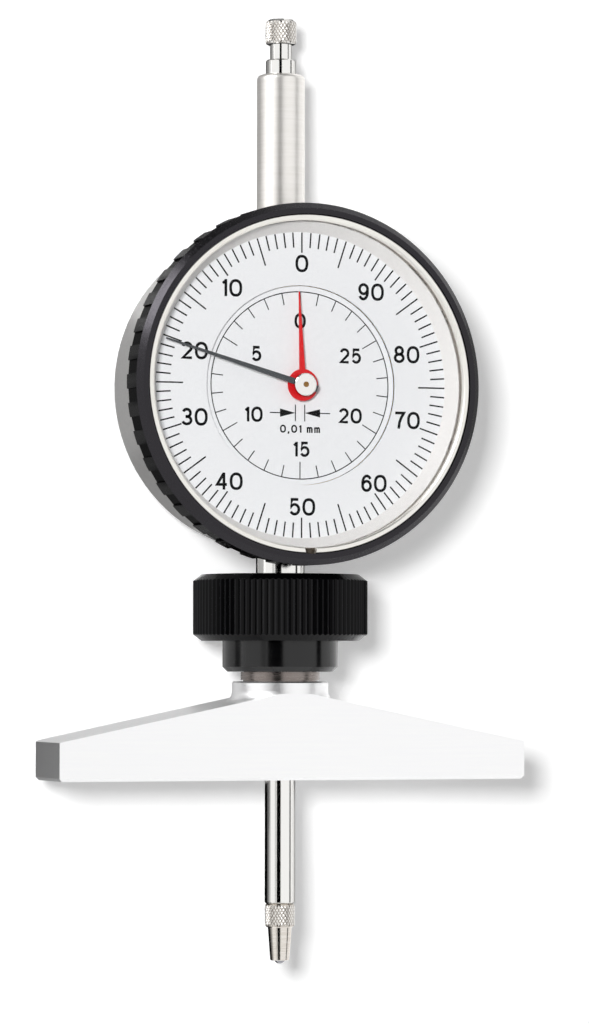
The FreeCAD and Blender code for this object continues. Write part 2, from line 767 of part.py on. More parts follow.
def movement_frame():
    """The plates that carry the train, their pillars and screws, and the plunger's guide."""
    arbor_hole = "arbor_radius + pivot_play"
    pivot_hole = "pivot_radius + pivot_play"
    plate = turned_front("plate_turning", ring_outline("0", "plate_radius", "ledge_height", "plate_front"))
    tools = [
        rod("plate_rack_hole", arbor_hole, "ledge_height", "plate_front", "front", "-train_offset", "train_height"),
        rod("plate_centre_hole", pivot_hole, "ledge_height", "plate_front", "front", "0", "dial_height"),
        rod("plate_takeup_hole", pivot_hole, "ledge_height", "plate_front", "front", "train_offset", "takeup_height"),
    ]
    tools += holes("plate_hole", "screw_radius", "screw_circle", PLATE_ANGLES, "ledge_height", "plate_front")
    node(cut("plate", plate, tools), "movement_plate")
    node(screws("ledge_screws", "screw_circle", PLATE_ANGLES, "plate_front", "-1"), "plate_screws")
    bridge = turned_front("bridge_turning", ring_outline("0", "bridge_radius", "bridge_back", "bridge_front"))
    tools = [
        rod("bridge_rack_hole", pivot_hole, "bridge_back", "bridge_front", "front", "-train_offset", "train_height"),
        rod("bridge_centre_hole", "counter_tube_radius + pivot_play", "bridge_back", "bridge_front", "front",
            "0", "dial_height"),
        rod("bridge_takeup_hole", pivot_hole, "bridge_back", "bridge_front", "front", "train_offset", "takeup_height"),
    ]
    tools += holes("bridge_screw_hole", "screw_radius", "pillar_circle", PILLAR_ANGLES, "bridge_back", "bridge_front")
    node(cut("train_bridge", bridge, tools), "front_bridge")
    pillars = group("pillar_blanks", holes("pillar", "pillar_radius", "pillar_circle", PILLAR_ANGLES,
                                           "plate_front", "bridge_back"))
    bores = holes("pillar_bore", "screw_radius", "pillar_circle", PILLAR_ANGLES,
                  "bridge_front - screw_length", "bridge_back")
    node(cut("pillars", pillars, bores), "bridge_pillars")
    node(screws("pillar_screws", "pillar_circle", PILLAR_ANGLES, "bridge_front", "-1"), "bridge_screws")
    leg_offset = "train_offset + cock_offset"
    cock = [block("cock_plate", f"-({leg_offset}) - cock_leg_radius", "cock_leg_radius - train_offset",
                  "train_height - cock_spread - cock_leg_radius", "train_height + cock_spread + cock_leg_radius",
                  "cock_back", "cock_front")]
    for index, side in enumerate(("-", "+")):
        cock.append(rod(f"cock_leg_{index}", "cock_leg_radius", "cock_front", "ledge_height", "front",
                        f"-({leg_offset})", f"train_height {side} cock_spread"))
    pivot = rod("cock_hole", pivot_hole, "cock_back", "cock_front", "front", "-train_offset", "train_height")
    node(cut("cock", joined("cock_blank", cock), [pivot]), "rear_cock")
    slot = "pin_radius + pin_play"
    rail = block("rail_bar", "rail_inner", "rail_outer", "slot_low", "slot_high", "-rail_half_depth", "ledge_height")
    opening = block("rail_slot", "rail_inner", "rail_outer", "slot_low + rail_wall", "slot_high - rail_wall",
                    f"-({slot})", slot)
    node(cut("rail", rail, [opening]), "guide_rail")
    node(rod("post", "post_radius", "-post_reach", "ledge_height", "front", "post_across", "post_height"),
         "spring_post")


def wire_tube(path, radius):
    """A round wire drawn as a many-sided tube along a row of points, with flat ends."""
    sections = []
    side = Vector(0, 0, 1)
    for index, here in enumerate(path):
        way = path[min(index + 1, len(path) - 1)] - path[max(index - 1, 0)]
        way.normalize()
        side = (side - way * side.dot(way)).normalize()
        across = way.cross(side)
        turns = [2 * math.pi * corner / WIRE_SIDES for corner in range(WIRE_SIDES)]
        sections.append([here + side * radius * math.cos(turn) + across * radius * math.sin(turn)
                         for turn in turns])
    faces = [Part.Face(Part.makePolygon(ring + [ring[0]])) for ring in (sections[0], sections[-1])]
    for ring, after in zip(sections, sections[1:]):
        for corner in range(WIRE_SIDES):
            beside = (corner + 1) % WIRE_SIDES
            for triangle in ((ring[corner], ring[beside], after[beside]), (ring[corner], after[beside], after[corner])):
                faces.append(Part.Face(Part.makePolygon(list(triangle) + [triangle[0]])))
    return Part.makeSolid(Part.makeShell(faces))


def return_spring():
    """The extension spring: a loop round its post, the coil, and a loop round the plunger's pin."""
    radius = number("return_coil_radius")
    hook = number("hook_radius")
    across = number("post_across")
    post = Vector(across, number("post_height"), 0)
    pin = Vector(across, number("pin_height"), 0)
    low = post.y + hook
    high = pin.y - hook
    turns = round(number("return_turns"))
    path = []
    for step in range(LOOP_STEPS):
        turn = math.radians(90 - LOOP_TURN * (1 - step / LOOP_STEPS))
        path.append(post + Vector(hook * math.cos(turn), hook * math.sin(turn), 0))
    for step in range(turns * COIL_STEPS + 1):
        turn = 2 * math.pi * step / COIL_STEPS
        rise = (high - low) * step / (turns * COIL_STEPS)
        path.append(Vector(across + radius * math.cos(turn), low + rise, radius * math.sin(turn)))
    for step in range(1, LOOP_STEPS + 1):
        turn = math.radians(-90 + LOOP_TURN * step / LOOP_STEPS)
        path.append(pin + Vector(0, hook * math.sin(turn), hook * math.cos(turn)))
    node(shaped("return_coil", wire_tube(path, number("return_wire_radius"))), "return_spring")


def hairspring():
    """The flat spiral that keeps the train's play to one side, and its stud."""
    inner = number("coil_inner_radius")
    outer = number("coil_outer_radius")
    turns = number("coil_turns")
    strip = number("coil_strip")
    lead = number(TRAIN_TURN)
    steps = round(turns * SPIRAL_STEPS)
    inside = []
    outside = []
    for step in range(steps + 1):
        share = step / steps
        angle = lead + 360 * turns * (share - 1)
        radius = inner + (outer - inner) * share
        inside.append(around(radius, angle))
        outside.append(around(radius + strip, angle))
    spiral = shaped("takeup_spiral", prism(inside + outside[::-1], number("coil_width")))
    node(sit(spiral, "train_offset", "takeup_height", "coil_back"), "hairspring")
    reach = "train_spacing + coil_outer_radius + coil_strip + coil_stud_radius"
    first, second = on_circle(f"({reach})", TRAIN_TURN)
    node(rod("coil_stud", "coil_stud_radius", "coil_back", "bridge_back", "front", first, second), "hairspring_stud")


def toothed(teeth, module, lead, bore, height):
    """A spur wheel with slim straight-flanked teeth, the first one pointing at the lead angle."""
    pitch_turn = 360 / teeth
    pitch_radius = teeth * module / 2
    root = pitch_radius - TOOTH_DEDENDUM * module
    tip = pitch_radius + TOOTH_ADDENDUM * module
    flank = [(root, TOOTH_SHARES["root"]), (tip, TOOTH_SHARES["tip"])]
    corners = []
    for index in range(teeth):
        middle = lead + index * pitch_turn
        corners += [around(radius, middle - share * pitch_turn) for radius, share in flank]
        corners += [around(radius, middle + share * pitch_turn) for radius, share in reversed(flank)]
    wheel = prism(corners, height)
    return wheel.cut(Part.makeCylinder(bore, height)) if bore else wheel


def gear(name, teeth, module, lead, bore, low, high, across, height):
    """A toothed wheel on its own axis."""
    thickness = number(high) - number(low)
    wheel = toothed(round(number(teeth)), number(module), number(lead), number(bore), thickness)
    return sit(shaped(name, wheel), across, height, low)


def gear_train():
    """Rack pinion, centre pinion, take-up wheel and the counter's wheels, all in mesh."""
    centre_lead = f"{TRAIN_TURN} + 180 / centre_teeth"
    pinion = gear("rack_pinion_teeth", "pinion_teeth", "rack_pitch / pi", "0", "0",
                  "-pinion_half_width", "pinion_half_width", "-train_offset", "train_height")
    arbor = turned_front("rack_arbor", [
        ("0", "cock_back"),
        ("pivot_radius", "cock_back"),
        ("pivot_radius", "cock_front + end_shake"),
        ("arbor_radius", "cock_front + end_shake"),
        ("arbor_radius", "bridge_back - end_shake"),
        ("pivot_radius", "bridge_back - end_shake"),
        ("pivot_radius", "bridge_front"),
        ("0", "bridge_front"),
    ], "-train_offset", "train_height")
    node(joined("rack_pinion_blank", [arbor, pinion]), "rack_pinion")
    node(gear("first_wheel", "gear_teeth", "gear_module", TRAIN_TURN, "arbor_radius", "gear_back", "gear_front",
              "-train_offset", "train_height"), "first_gear")
    node(gear("counter_drive", "counter_drive_teeth", "counter_module", TRAIN_TURN, "arbor_radius",
              "counter_back", "counter_front", "-train_offset", "train_height"), "counter_pinion")
    pinion = gear("centre_pinion_teeth", "centre_teeth", "gear_module", centre_lead, "0",
                  "gear_back - end_shake", "gear_front + end_shake", "0", "dial_height")
    arbor = turned_front("centre_turning", [
        ("0", "ledge_height"),
        ("pivot_radius", "ledge_height"),
        ("pivot_radius", "plate_front + end_shake"),
        ("centre_arbor_radius", "plate_front + end_shake"),
        ("centre_arbor_radius", "main_hand_back"),
        ("hand_pin_radius", "main_hand_back"),
        ("hand_pin_radius", "cap_front + hand_pin_proud"),
        ("0", "cap_front + hand_pin_proud"),
    ])
    node(joined("centre_blank", [arbor, pinion]), "centre_arbor")
    node(turned_front("takeup_turning", [
        ("0", "ledge_height"),
        ("pivot_radius", "ledge_height"),
        ("pivot_radius", "plate_front + end_shake"),
        ("arbor_radius", "plate_front + end_shake"),
        ("arbor_radius", "coil_back"),
        ("coil_inner_radius - coil_play", "coil_back"),
        ("coil_inner_radius - coil_play", "coil_back + coil_width"),
        ("arbor_radius", "coil_back + coil_width"),
        ("arbor_radius", "bridge_back - end_shake"),
        ("pivot_radius", "bridge_back - end_shake"),
        ("pivot_radius", "bridge_front"),
        ("0", "bridge_front"),
    ], "train_offset", "takeup_height"), "takeup_arbor")
    node(gear("takeup_wheel", "gear_teeth", "gear_module", f"{TRAIN_TURN} + 180", "arbor_radius",
              "gear_back", "gear_front", "train_offset", "takeup_height"), "takeup_gear")
    node(turned_front("counter_turning", ring_outline(
        "centre_arbor_radius + pivot_play", "counter_tube_radius", "counter_back - end_shake",
        "counter_hand_front")), "counter_tube")
    node(gear("counter_wheel", "counter_teeth", "counter_module", f"{TRAIN_TURN} + 180 + 180 / counter_teeth",
              "counter_tube_radius", "counter_back", "counter_front", "0", "dial_height"), "counter_gear")


def hand(name, hub, bore, length, tail, width, tip, low, high, angle):
    """A flat tapered hand with a round hub and a tail, turned counter-clockwise from the top."""
    half = number(width) / 2
    end = number(tip) / 2
    reach = number(length)
    back = -number(tail)
    corners = [Vector(half, back, 0), Vector(end, reach, 0), Vector(-end, reach, 0), Vector(-half, back, 0)]
    blade = shaped(name + "_blade", prism(corners, number(high) - number(low)))
    sit(blade, "0", "dial_height", low, FreeCAD.Rotation(Vector(0, 0, 1), number(angle)))
    disc = rod(name + "_hub", hub, low, high, "front", "0", "dial_height")
    eye = rod(name + "_eye", bore, low, high, "front", "0", "dial_height")
    return cut(name, joined(name + "_blank", [blade, disc]), [eye])


def hands():
    """The main hand under its cap, and the red hand of the millimetre counter."""
    node(hand("counter_pointer", "counter_hub_radius", "counter_tube_radius", "counter_hand_length",
              "0", "counter_hand_width", "counter_tip_width", "counter_hand_back", "counter_hand_front",
              "counter_angle"), "counter_hand")
    node(hand("main_pointer", "main_hub_radius", "hand_pin_radius", "main_hand_length", "main_hand_tail",
              "main_hand_width", "main_tip_width", "main_hand_back", "main_hand_front", "hand_angle"), "main_hand")
    node(turned_front("cap_turning", ring_outline(
        "hand_pin_radius", "cap_radius", "main_hand_front", "cap_front", "cap_edge")), "hub_cap")


def dials():
    """The fixed inner dial on its feet, and the ring dial that turns with the bezel."""
    disc = turned_front("inner_disc", ring_outline(
        "dial_eye_radius", "inner_dial_radius", "inner_dial_back", "inner_dial_face"))
    feet = [rod(f"dial_foot_{index}", "dial_foot_radius", "bridge_front", "inner_dial_back", "front",
                f"{side}dial_foot_offset", "dial_height") for index, side in enumerate(("", "-"))]
    node(joined("inner_disc_on_feet", [disc] + feet), "inner_dial")
    node(turned_front("outer_ring", ring_outline(
        "inner_dial_radius + dial_play", "bezel_bore_radius", "outer_dial_back", "outer_dial_face")), "outer_dial")


def bezel():
    """The notched bezel with its crystal, the ring that holds it, and the wire it turns on."""
    groove = "(wire_radius + bezel_play)"
    blank = turned_front("bezel_turning", [
        ("bezel_lip_radius", "bezel_back"),
        ("bezel_radius - bezel_back_edge", "bezel_back"),
        ("bezel_radius", "bezel_back + bezel_back_edge"),
        ("bezel_radius", "bezel_front - bezel_edge_height"),
        ("bezel_radius - bezel_edge_width", "bezel_front"),
        ("bezel_bore_radius", "bezel_front"),
        ("bezel_bore_radius", "outer_dial_back"),
        ("bezel_shelf_radius", "outer_dial_back"),
        ("bezel_shelf_radius", "shelf_back"),
        ("bezel_lip_radius", "shelf_back"),
        ("bezel_lip_radius", f"wire_depth + {groove}"),
        (f"bezel_lip_radius + {groove}", f"wire_depth + {groove}"),
        (f"bezel_lip_radius + {groove}", f"wire_depth - {groove}"),
        ("bezel_lip_radius", f"wire_depth - {groove}"),
    ])
    count = round(number("notch_count"))
    floor = number("bezel_radius - notch_depth")
    half = floor * math.radians(number("notch_share") * 180 / count)
    low = number("bezel_back") - NOTCH_OVERCUT
    height = number("notch_front") - low
    notch = Part.makeBox(2 * number("notch_depth"), 2 * half, height, Vector(floor, -half, low))
    notches = []
    for index in range(count):
        cutter = notch.copy()
        cutter.rotate(Vector(0, 0, 0), Vector(0, 0, 1), (index + NOTCH_PHASE) * 360 / count)
        notches.append(cutter)
    cutters = sit(shaped("bezel_notches", Part.makeCompound(notches)), "0", "dial_height")
    node(cut("bezel_ring", blank, [cutters]), "bezel")
    sweep = 360 - number("wire_gap_angle")
    path = [around(number("neck_radius + bezel_play / 2"), sweep * step / WIRE_STEPS)
            for step in range(WIRE_STEPS + 1)]
    wire = shaped("bezel_wire_ring", wire_tube(path, number("wire_radius")))
    node(sit(wire, "0", "dial_height", "wire_depth"), "bezel_wire")
    node(turned_front("rim_turning", [
        ("rim_inner_radius", "outer_dial_face"),
        ("bezel_bore_radius", "outer_dial_face"),
        ("bezel_bore_radius", "crystal_back"),
        ("rim_top_radius", "crystal_back"),
    ]), "dial_rim")
    node(turned_front("crystal_turning", ring_outline(
        "0", "bezel_bore_radius - crystal_play", "crystal_back", "crystal_front")), "crystal")
    ring = turned_front("ring_turning", [
        ("ring_inner_radius", "crystal_front"),
        ("bezel_bore_radius", "crystal_front"),
        ("bezel_bore_radius", "ring_front - ring_edge"),
        ("bezel_bore_radius - ring_edge", "ring_front"),
        ("ring_inner_radius + ring_edge", "ring_front"),
        ("ring_inner_radius", "ring_front - ring_edge"),
    ])
    slant = math.tan(math.radians(number("ring_gap_slant")))
    inner = number("ring_inner_radius") - RING_OVERCUT
    outer = number("bezel_bore_radius") + RING_OVERCUT
    near = number("ring_gap") / 2
    far = near - (outer - inner) * slant
    corners = [Vector(near, -inner, 0), Vector(far, -outer, 0), Vector(-far, -outer, 0), Vector(-near, -inner, 0)]
    gap = sit(shaped("ring_gap", prism(corners, number("ring_front - crystal_front"))),
              "0", "dial_height", "crystal_front")
    node(cut("ring", ring, [gap]), "crystal_ring")


def rack_comb():
    """The space that the rack cutter sweeps out of the plunger's side."""
    pitch = number("rack_pitch")
    module = pitch / math.pi
    line = number("rack_line")
    tip = -line - TOOTH_ADDENDUM * module
    root = -line + TOOTH_DEDENDUM * module
    outside = -number("rod_radius") - module
    depth = number("rod_radius") + module
    corners = []
    for index in range(-round(number("rack_teeth_below")), round(number("rack_teeth_above")) + 1):
        height = number("train_height") + index * pitch
        for side in (-1, 1):
            mouth = Vector(tip, height + side * (0.5 - TOOTH_SHARES["tip"]) * pitch, -depth)
            floor = Vector(root, height + side * (0.5 - TOOTH_SHARES["root"]) * pitch, -depth)
            corners += [mouth, floor] if side < 0 else [floor, mouth]
    corners.append(Vector(outside, corners[-1].y, -depth))
    corners.append(Vector(outside, corners[0].y, -depth))
    return prism(corners, 2 * depth)


def plunger():
    """The plunger with its rack and guide pin, the contact point below and the knob above."""
    blank = turned("plunger_turning", [
        ("stud_radius", "rod_foot"),
        ("rod_radius - rod_edge", "rod_foot"),
        ("rod_radius", "rod_foot + rod_edge"),
        ("rod_radius", "rod_head - rod_edge"),
        ("rod_radius - rod_edge", "rod_head"),
        ("stud_radius", "rod_head"),
        ("stud_radius", "rod_head - stud_length"),
        ("0", "rod_head - stud_length"),
        ("0", "rod_foot + stud_length"),
        ("stud_radius", "rod_foot + stud_length"),
    ])
    hole = rod("plunger_pin_hole", "pin_radius", "pin_root", "rod_radius", "across", "pin_height", "0")
    node(cut("plunger_rod", blank, [shaped("plunger_rack_comb", rack_comb()), hole]), "plunger")
    node(rod("pin", "pin_radius", "pin_root", "pin_reach", "across", "pin_height", "0"), "guide_pin")
    neck_foot = "rod_head + knob_collar_length"
    head_foot = f"{neck_foot} + knob_neck_length"
    head_top = f"{head_foot} + knob_head_length"
    node(turned("knob_turning", [
        ("0", "rod_head - stud_length"),
        ("stud_radius", "rod_head - stud_length"),
        ("stud_radius", "rod_head"),
        ("knob_collar_radius", "rod_head"),
        ("knob_collar_radius", neck_foot),
        ("knob_neck_radius", neck_foot),
        ("knob_neck_radius", head_foot),
        ("knob_head_radius - knob_edge / 2", head_foot),
        ("knob_head_radius", f"{head_foot} + knob_edge / 2"),
        ("knob_head_radius", f"{head_top} - knob_edge"),
        ("knob_head_radius - knob_edge", head_top),
        ("0", head_top),
    ]), "lifting_knob")
    collar_foot = "rod_foot - contact_collar_length"
    cone_foot = "contact_cone_lift - plunger_out"
    cone = turned("contact_turning", [
        ("0", cone_foot),
        ("contact_tip_radius", cone_foot),
        ("contact_cone_radius", collar_foot),
        ("contact_collar_radius - contact_collar_edge", collar_foot),
        ("contact_collar_radius", f"{collar_foot} + contact_collar_edge"),
        ("contact_collar_radius", "rod_foot - contact_collar_edge"),
        ("contact_collar_radius - contact_collar_edge", "rod_foot"),
        ("stud_radius", "rod_foot"),
        ("stud_radius", "rod_foot + stud_length"),
        ("0", "rod_foot + stud_length"),
    ])
    ball = doc.addObject("Part::Sphere", "ball")
    ball.setExpression("Radius", formula("ball_radius"))
    sit(ball, "0", "ball_height")
    node(cut("contact", cone, [ball]), "contact_point")
    node(ball, "contact_ball")


def check_and_write():
    """Stops at any feature or piece that failed, then writes each piece to its own file."""
    doc.recompute()
    failed = [feature.Name for feature in doc.Objects if {"Invalid", "Error"} & set(feature.State)]
    for piece in nodes:
        if piece.Shape.isNull() or not piece.Shape.isValid() or not piece.Shape.Solids:
            failed.append(piece.Label)
    if failed:
        raise RuntimeError("not built: " + ", ".join(failed))
    os.makedirs("parts", exist_ok=True)
    for piece in nodes:
        piece.Shape.exportStep(f"parts/{piece.Label}.step")
        print(f"{piece.Label}: {len(piece.Shape.Solids)} solid, {piece.Shape.Volume:.2f} mm3")


fill_sheet()
measuring_base()
collet()
clamp_nut()
stem_and_tube()
case()
movement_frame()
return_spring()
hairspring()
gear_train()
hands()
dials()
bezel()
plunger()
check_and_write()
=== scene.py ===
"""Finishes, scales, knurling and studio for the dial depth gauge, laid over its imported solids.

Metres, in the frame of the solids: +Y runs up the plunger, +X along the base and +Z out of the dial.
"""

import math

import bpy
from bpy.props import FloatProperty, FloatVectorProperty, IntProperty, PointerProperty
from bpy.types import Operator, Panel, PropertyGroup
from mathutils import Matrix, Vector


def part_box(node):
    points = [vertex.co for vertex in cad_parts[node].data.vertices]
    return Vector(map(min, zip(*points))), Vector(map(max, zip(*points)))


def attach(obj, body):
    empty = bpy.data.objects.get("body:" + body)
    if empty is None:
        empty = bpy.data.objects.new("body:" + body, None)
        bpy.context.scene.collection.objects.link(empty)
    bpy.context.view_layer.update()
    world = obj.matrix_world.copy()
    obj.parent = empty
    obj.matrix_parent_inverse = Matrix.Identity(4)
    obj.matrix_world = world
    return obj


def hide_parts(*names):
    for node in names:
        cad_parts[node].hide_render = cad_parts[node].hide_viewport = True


bl_info = {
    "name": "Dial Depth Gauge",
    "version": (1, 0, 0),
    "blender": (4, 5, 0),
    "location": "View3D > Sidebar > Depth Gauge",
    "description": "Dresses a dial depth gauge with its finishes, scales and knurling",
    "category": "Object",
}

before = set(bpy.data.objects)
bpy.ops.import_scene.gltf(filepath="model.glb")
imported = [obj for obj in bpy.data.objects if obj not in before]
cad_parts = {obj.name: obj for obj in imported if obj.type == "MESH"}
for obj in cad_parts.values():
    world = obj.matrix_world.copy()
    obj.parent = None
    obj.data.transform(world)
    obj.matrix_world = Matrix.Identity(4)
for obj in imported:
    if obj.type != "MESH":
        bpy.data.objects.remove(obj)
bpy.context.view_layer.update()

MM = 0.001
DIAL_CENTRE = Vector(((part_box("outer_dial")[0][0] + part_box("outer_dial")[1][0]) / 2,
                      (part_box("outer_dial")[0][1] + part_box("outer_dial")[1][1]) / 2, 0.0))


def dial_axis(node):
    """The dial's centre in the coordinates of one solid."""
    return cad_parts[node].matrix_world.inverted() @ DIAL_CENTRE


def linear(code):
    """Turns an sRGB hex value into the linear colour that a shader takes."""
    shares = [((code >> shift) & 255) / 255 for shift in (16, 8, 0)]
    return tuple(s / 12.92 if s <= 0.04045 else ((s + 0.055) / 1.055) ** 2.4 for s in shares) + (1.0,)


def tint(code):
    """The same colour without its alpha, as a property default."""
    return linear(code)[:3]


# Settings

class DialPrintSettings(PropertyGroup):
    ink: FloatVectorProperty(
        name="Ink", description="Colour of the printed scales and numbers", subtype="COLOR",
        default=tint(0x0C0C0E), min=0, max=1)
    ink_height: FloatProperty(
        name="Ink height", description="How far the print stands on the dial", unit="LENGTH",
        default=0.012 * MM, min=0.001 * MM)
    outer_radius: FloatProperty(
        name="Outer scale radius", description="Outer ends of the hundredths", unit="LENGTH", default=24.85 * MM)
    unit_tick: FloatProperty(
        name="Hundredth", description="Length of a hundredth's line", unit="LENGTH", default=2.45 * MM)
    five_tick: FloatProperty(
        name="Five", description="Length of a line at a five", unit="LENGTH", default=4.6 * MM)
    ten_tick: FloatProperty(
        name="Ten", description="Length of a line at a numbered ten", unit="LENGTH", default=3.3 * MM)
    tick_width: FloatProperty(
        name="Line width", description="Width of the outer scale's lines", unit="LENGTH", default=0.24 * MM)
    outer_number_height: FloatProperty(
        name="Outer number height", description="Height of the outer numbers", unit="LENGTH", default=2.85 * MM)
    number_stroke: FloatProperty(
        name="Number stroke", description="Stroke width of the numbers", unit="LENGTH", default=0.46 * MM)
    inner_radius: FloatProperty(
        name="Inner circle radius", description="Circle line round the millimetre scale", unit="LENGTH",
        default=15.25 * MM)
    inner_line: FloatProperty(
        name="Inner line width", description="Width of the inner scale's lines", unit="LENGTH", default=0.17 * MM)
    inner_tick: FloatProperty(
        name="Millimetre", description="Length of a millimetre's line", unit="LENGTH", default=1.95 * MM)
    inner_five_tick: FloatProperty(
        name="Five millimetres", description="Length of a line at five millimetres", unit="LENGTH",
        default=2.8 * MM)
    inner_number_height: FloatProperty(
        name="Inner number height", description="Height of the inner numbers", unit="LENGTH", default=2.5 * MM)
    mark_height: FloatProperty(
        name="Division text height", description="Height of the text that gives the division", unit="LENGTH",
        default=1.3 * MM)


class KnurlSettings(PropertyGroup):
    diamonds: IntProperty(
        name="Diamonds round", description="Number of diamonds round the knob", default=27, min=6)
    rows: IntProperty(
        name="Rows", description="Half rows of diamonds along the knob", default=8, min=2)
    depth: FloatProperty(
        name="Knurl depth", description="Depth of the knurl's grooves", unit="LENGTH", default=0.17 * MM)


class StudioSettings(PropertyGroup):
    paper: FloatVectorProperty(
        name="Paper", description="Colour of the floor", subtype="COLOR", default=tint(0xF2F2F2), min=0, max=1)
    paper_lift: FloatProperty(
        name="Paper lift", description="How much the floor and its mirror image are lifted towards white",
        subtype="FACTOR", default=0.28, min=0, max=1)
    sky: FloatProperty(
        name="Sky", description="Light from all round", default=0.28, min=0)
    key_power: FloatProperty(
        name="Key lamp", description="Power of the lamp at the upper left", unit="POWER", default=4.9, min=0)
    key_size: FloatProperty(
        name="Key size", description="Side of the lamp's soft box", unit="LENGTH", default=0.12)
    focal_length: FloatProperty(
        name="Focal length", description="Focal length in millimetres", default=158.4, min=1)


# Shared builders

def add_node(material, kind, inputs=(), **settings):
    """Adds a node with its settings; inputs maps each socket to a value or to another node's output."""
    tree = material.node_tree
    node = tree.nodes.new(kind)
    for key, value in settings.items():
        setattr(node, key, value)
    for socket, value in dict(inputs).items():
        if isinstance(value, bpy.types.NodeSocket):
            tree.links.new(value, node.inputs[socket])
        else:
            node.inputs[socket].default_value = value
    return node


def per_mm(*sizes):
    """Pattern scale along each axis from the size in millimetres of one cycle."""
    return tuple(1000 / size for size in sizes)


def surface(name, code, metallic, roughness, **sockets):
    """A material whose shader starts from one colour; returns it with its shader and the piece's coordinates."""
    material = bpy.data.materials.new(name)
    material.use_nodes = True
    shader = material.node_tree.nodes["Principled BSDF"]
    shader.inputs["Base Color"].default_value = linear(code)
    shader.inputs["Metallic"].default_value = metallic
    shader.inputs["Roughness"].default_value = roughness
    for socket, value in sockets.items():
        shader.inputs[socket.replace("_", " ")].default_value = value
    material.diffuse_color = linear(code)
    place = add_node(material, "ShaderNodeTexCoord").outputs["Object"]
    return material, shader, place


def worn(material, shader, place, grain, low, high, colours=(), bump=0.0, bump_mm=0.02, detail=3.0):
    """Noise of one grain size drives roughness between two values, and, where asked, colour and relief."""
    spread = add_node(material, "ShaderNodeMapping", {"Vector": place, "Scale": per_mm(*grain)})
    noise = add_node(material, "ShaderNodeTexNoise",
                     {"Vector": spread.outputs["Vector"], "Scale": 1.0, "Detail": detail, "Roughness": 0.6})
    rough = add_node(material, "ShaderNodeMapRange",
                     {"Value": noise.outputs["Fac"], "From Min": 0.3, "From Max": 0.7, "To Min": low, "To Max": high})
    material.node_tree.links.new(rough.outputs["Result"], shader.inputs["Roughness"])
    if colours:
        share = add_node(material, "ShaderNodeMapRange",
                         {"Value": noise.outputs["Fac"], "From Min": 0.35, "From Max": 0.65})
        blend = add_node(material, "ShaderNodeMix", {0: share.outputs["Result"], 6: linear(colours[0]),
                                                     7: linear(colours[1])}, data_type="RGBA")
        material.node_tree.links.new(blend.outputs[2], shader.inputs["Base Color"])
    if bump:
        relief = add_node(material, "ShaderNodeBump",
                          {"Height": noise.outputs["Fac"], "Strength": bump, "Distance": bump_mm * MM})
        material.node_tree.links.new(relief.outputs["Normal"], shader.inputs["Normal"])
    return noise


def axis_distance(material, place, centre, plane):
    """Distance from an axis through the centre, measured in the plane given by ones and a nought."""
    offset = add_node(material, "ShaderNodeVectorMath", {0: place, 1: centre}, operation="SUBTRACT")
    flat = add_node(material, "ShaderNodeVectorMath", {0: offset.outputs[0], 1: plane}, operation="MULTIPLY")
    return add_node(material, "ShaderNodeVectorMath", {0: flat.outputs[0]}, operation="LENGTH").outputs["Value"]


def graded(material, value, start, end, low, high):
    """A socket that runs from one number or hex colour to another while the value goes from start to end."""
    share = add_node(material, "ShaderNodeMapRange", {"Value": value, "From Min": start, "From Max": end})
    if isinstance(low, float):
        share.inputs["To Min"].default_value, share.inputs["To Max"].default_value = low, high
        return share.outputs["Result"]
    return add_node(material, "ShaderNodeMix", {0: share.outputs["Result"], 6: linear(low), 7: linear(high)},
                    data_type="RGBA").outputs[2]


def seen_rays(material):
    """A socket that is one for camera, mirror and transmission rays, and nought for the light on the gauge."""
    path = add_node(material, "ShaderNodeLightPath")
    seen = add_node(material, "ShaderNodeMath", {0: path.outputs["Is Camera Ray"],
                                                 1: path.outputs["Is Glossy Ray"]}, operation="ADD")
    return add_node(material, "ShaderNodeMath", {0: seen.outputs[0], 1: path.outputs["Is Transmission Ray"]},
                    operation="ADD", use_clamp=True).outputs[0]


def dress(node, material):
    """Gives a carried-over solid one material."""
    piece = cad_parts[node]
    if not piece.material_slots:
        piece.data.materials.append(material)
    for place in piece.material_slots:
        place.material = material


def dress_all(nodes, material):
    """Gives several carried-over solids the same material."""
    for node in nodes:
        dress(node, material)


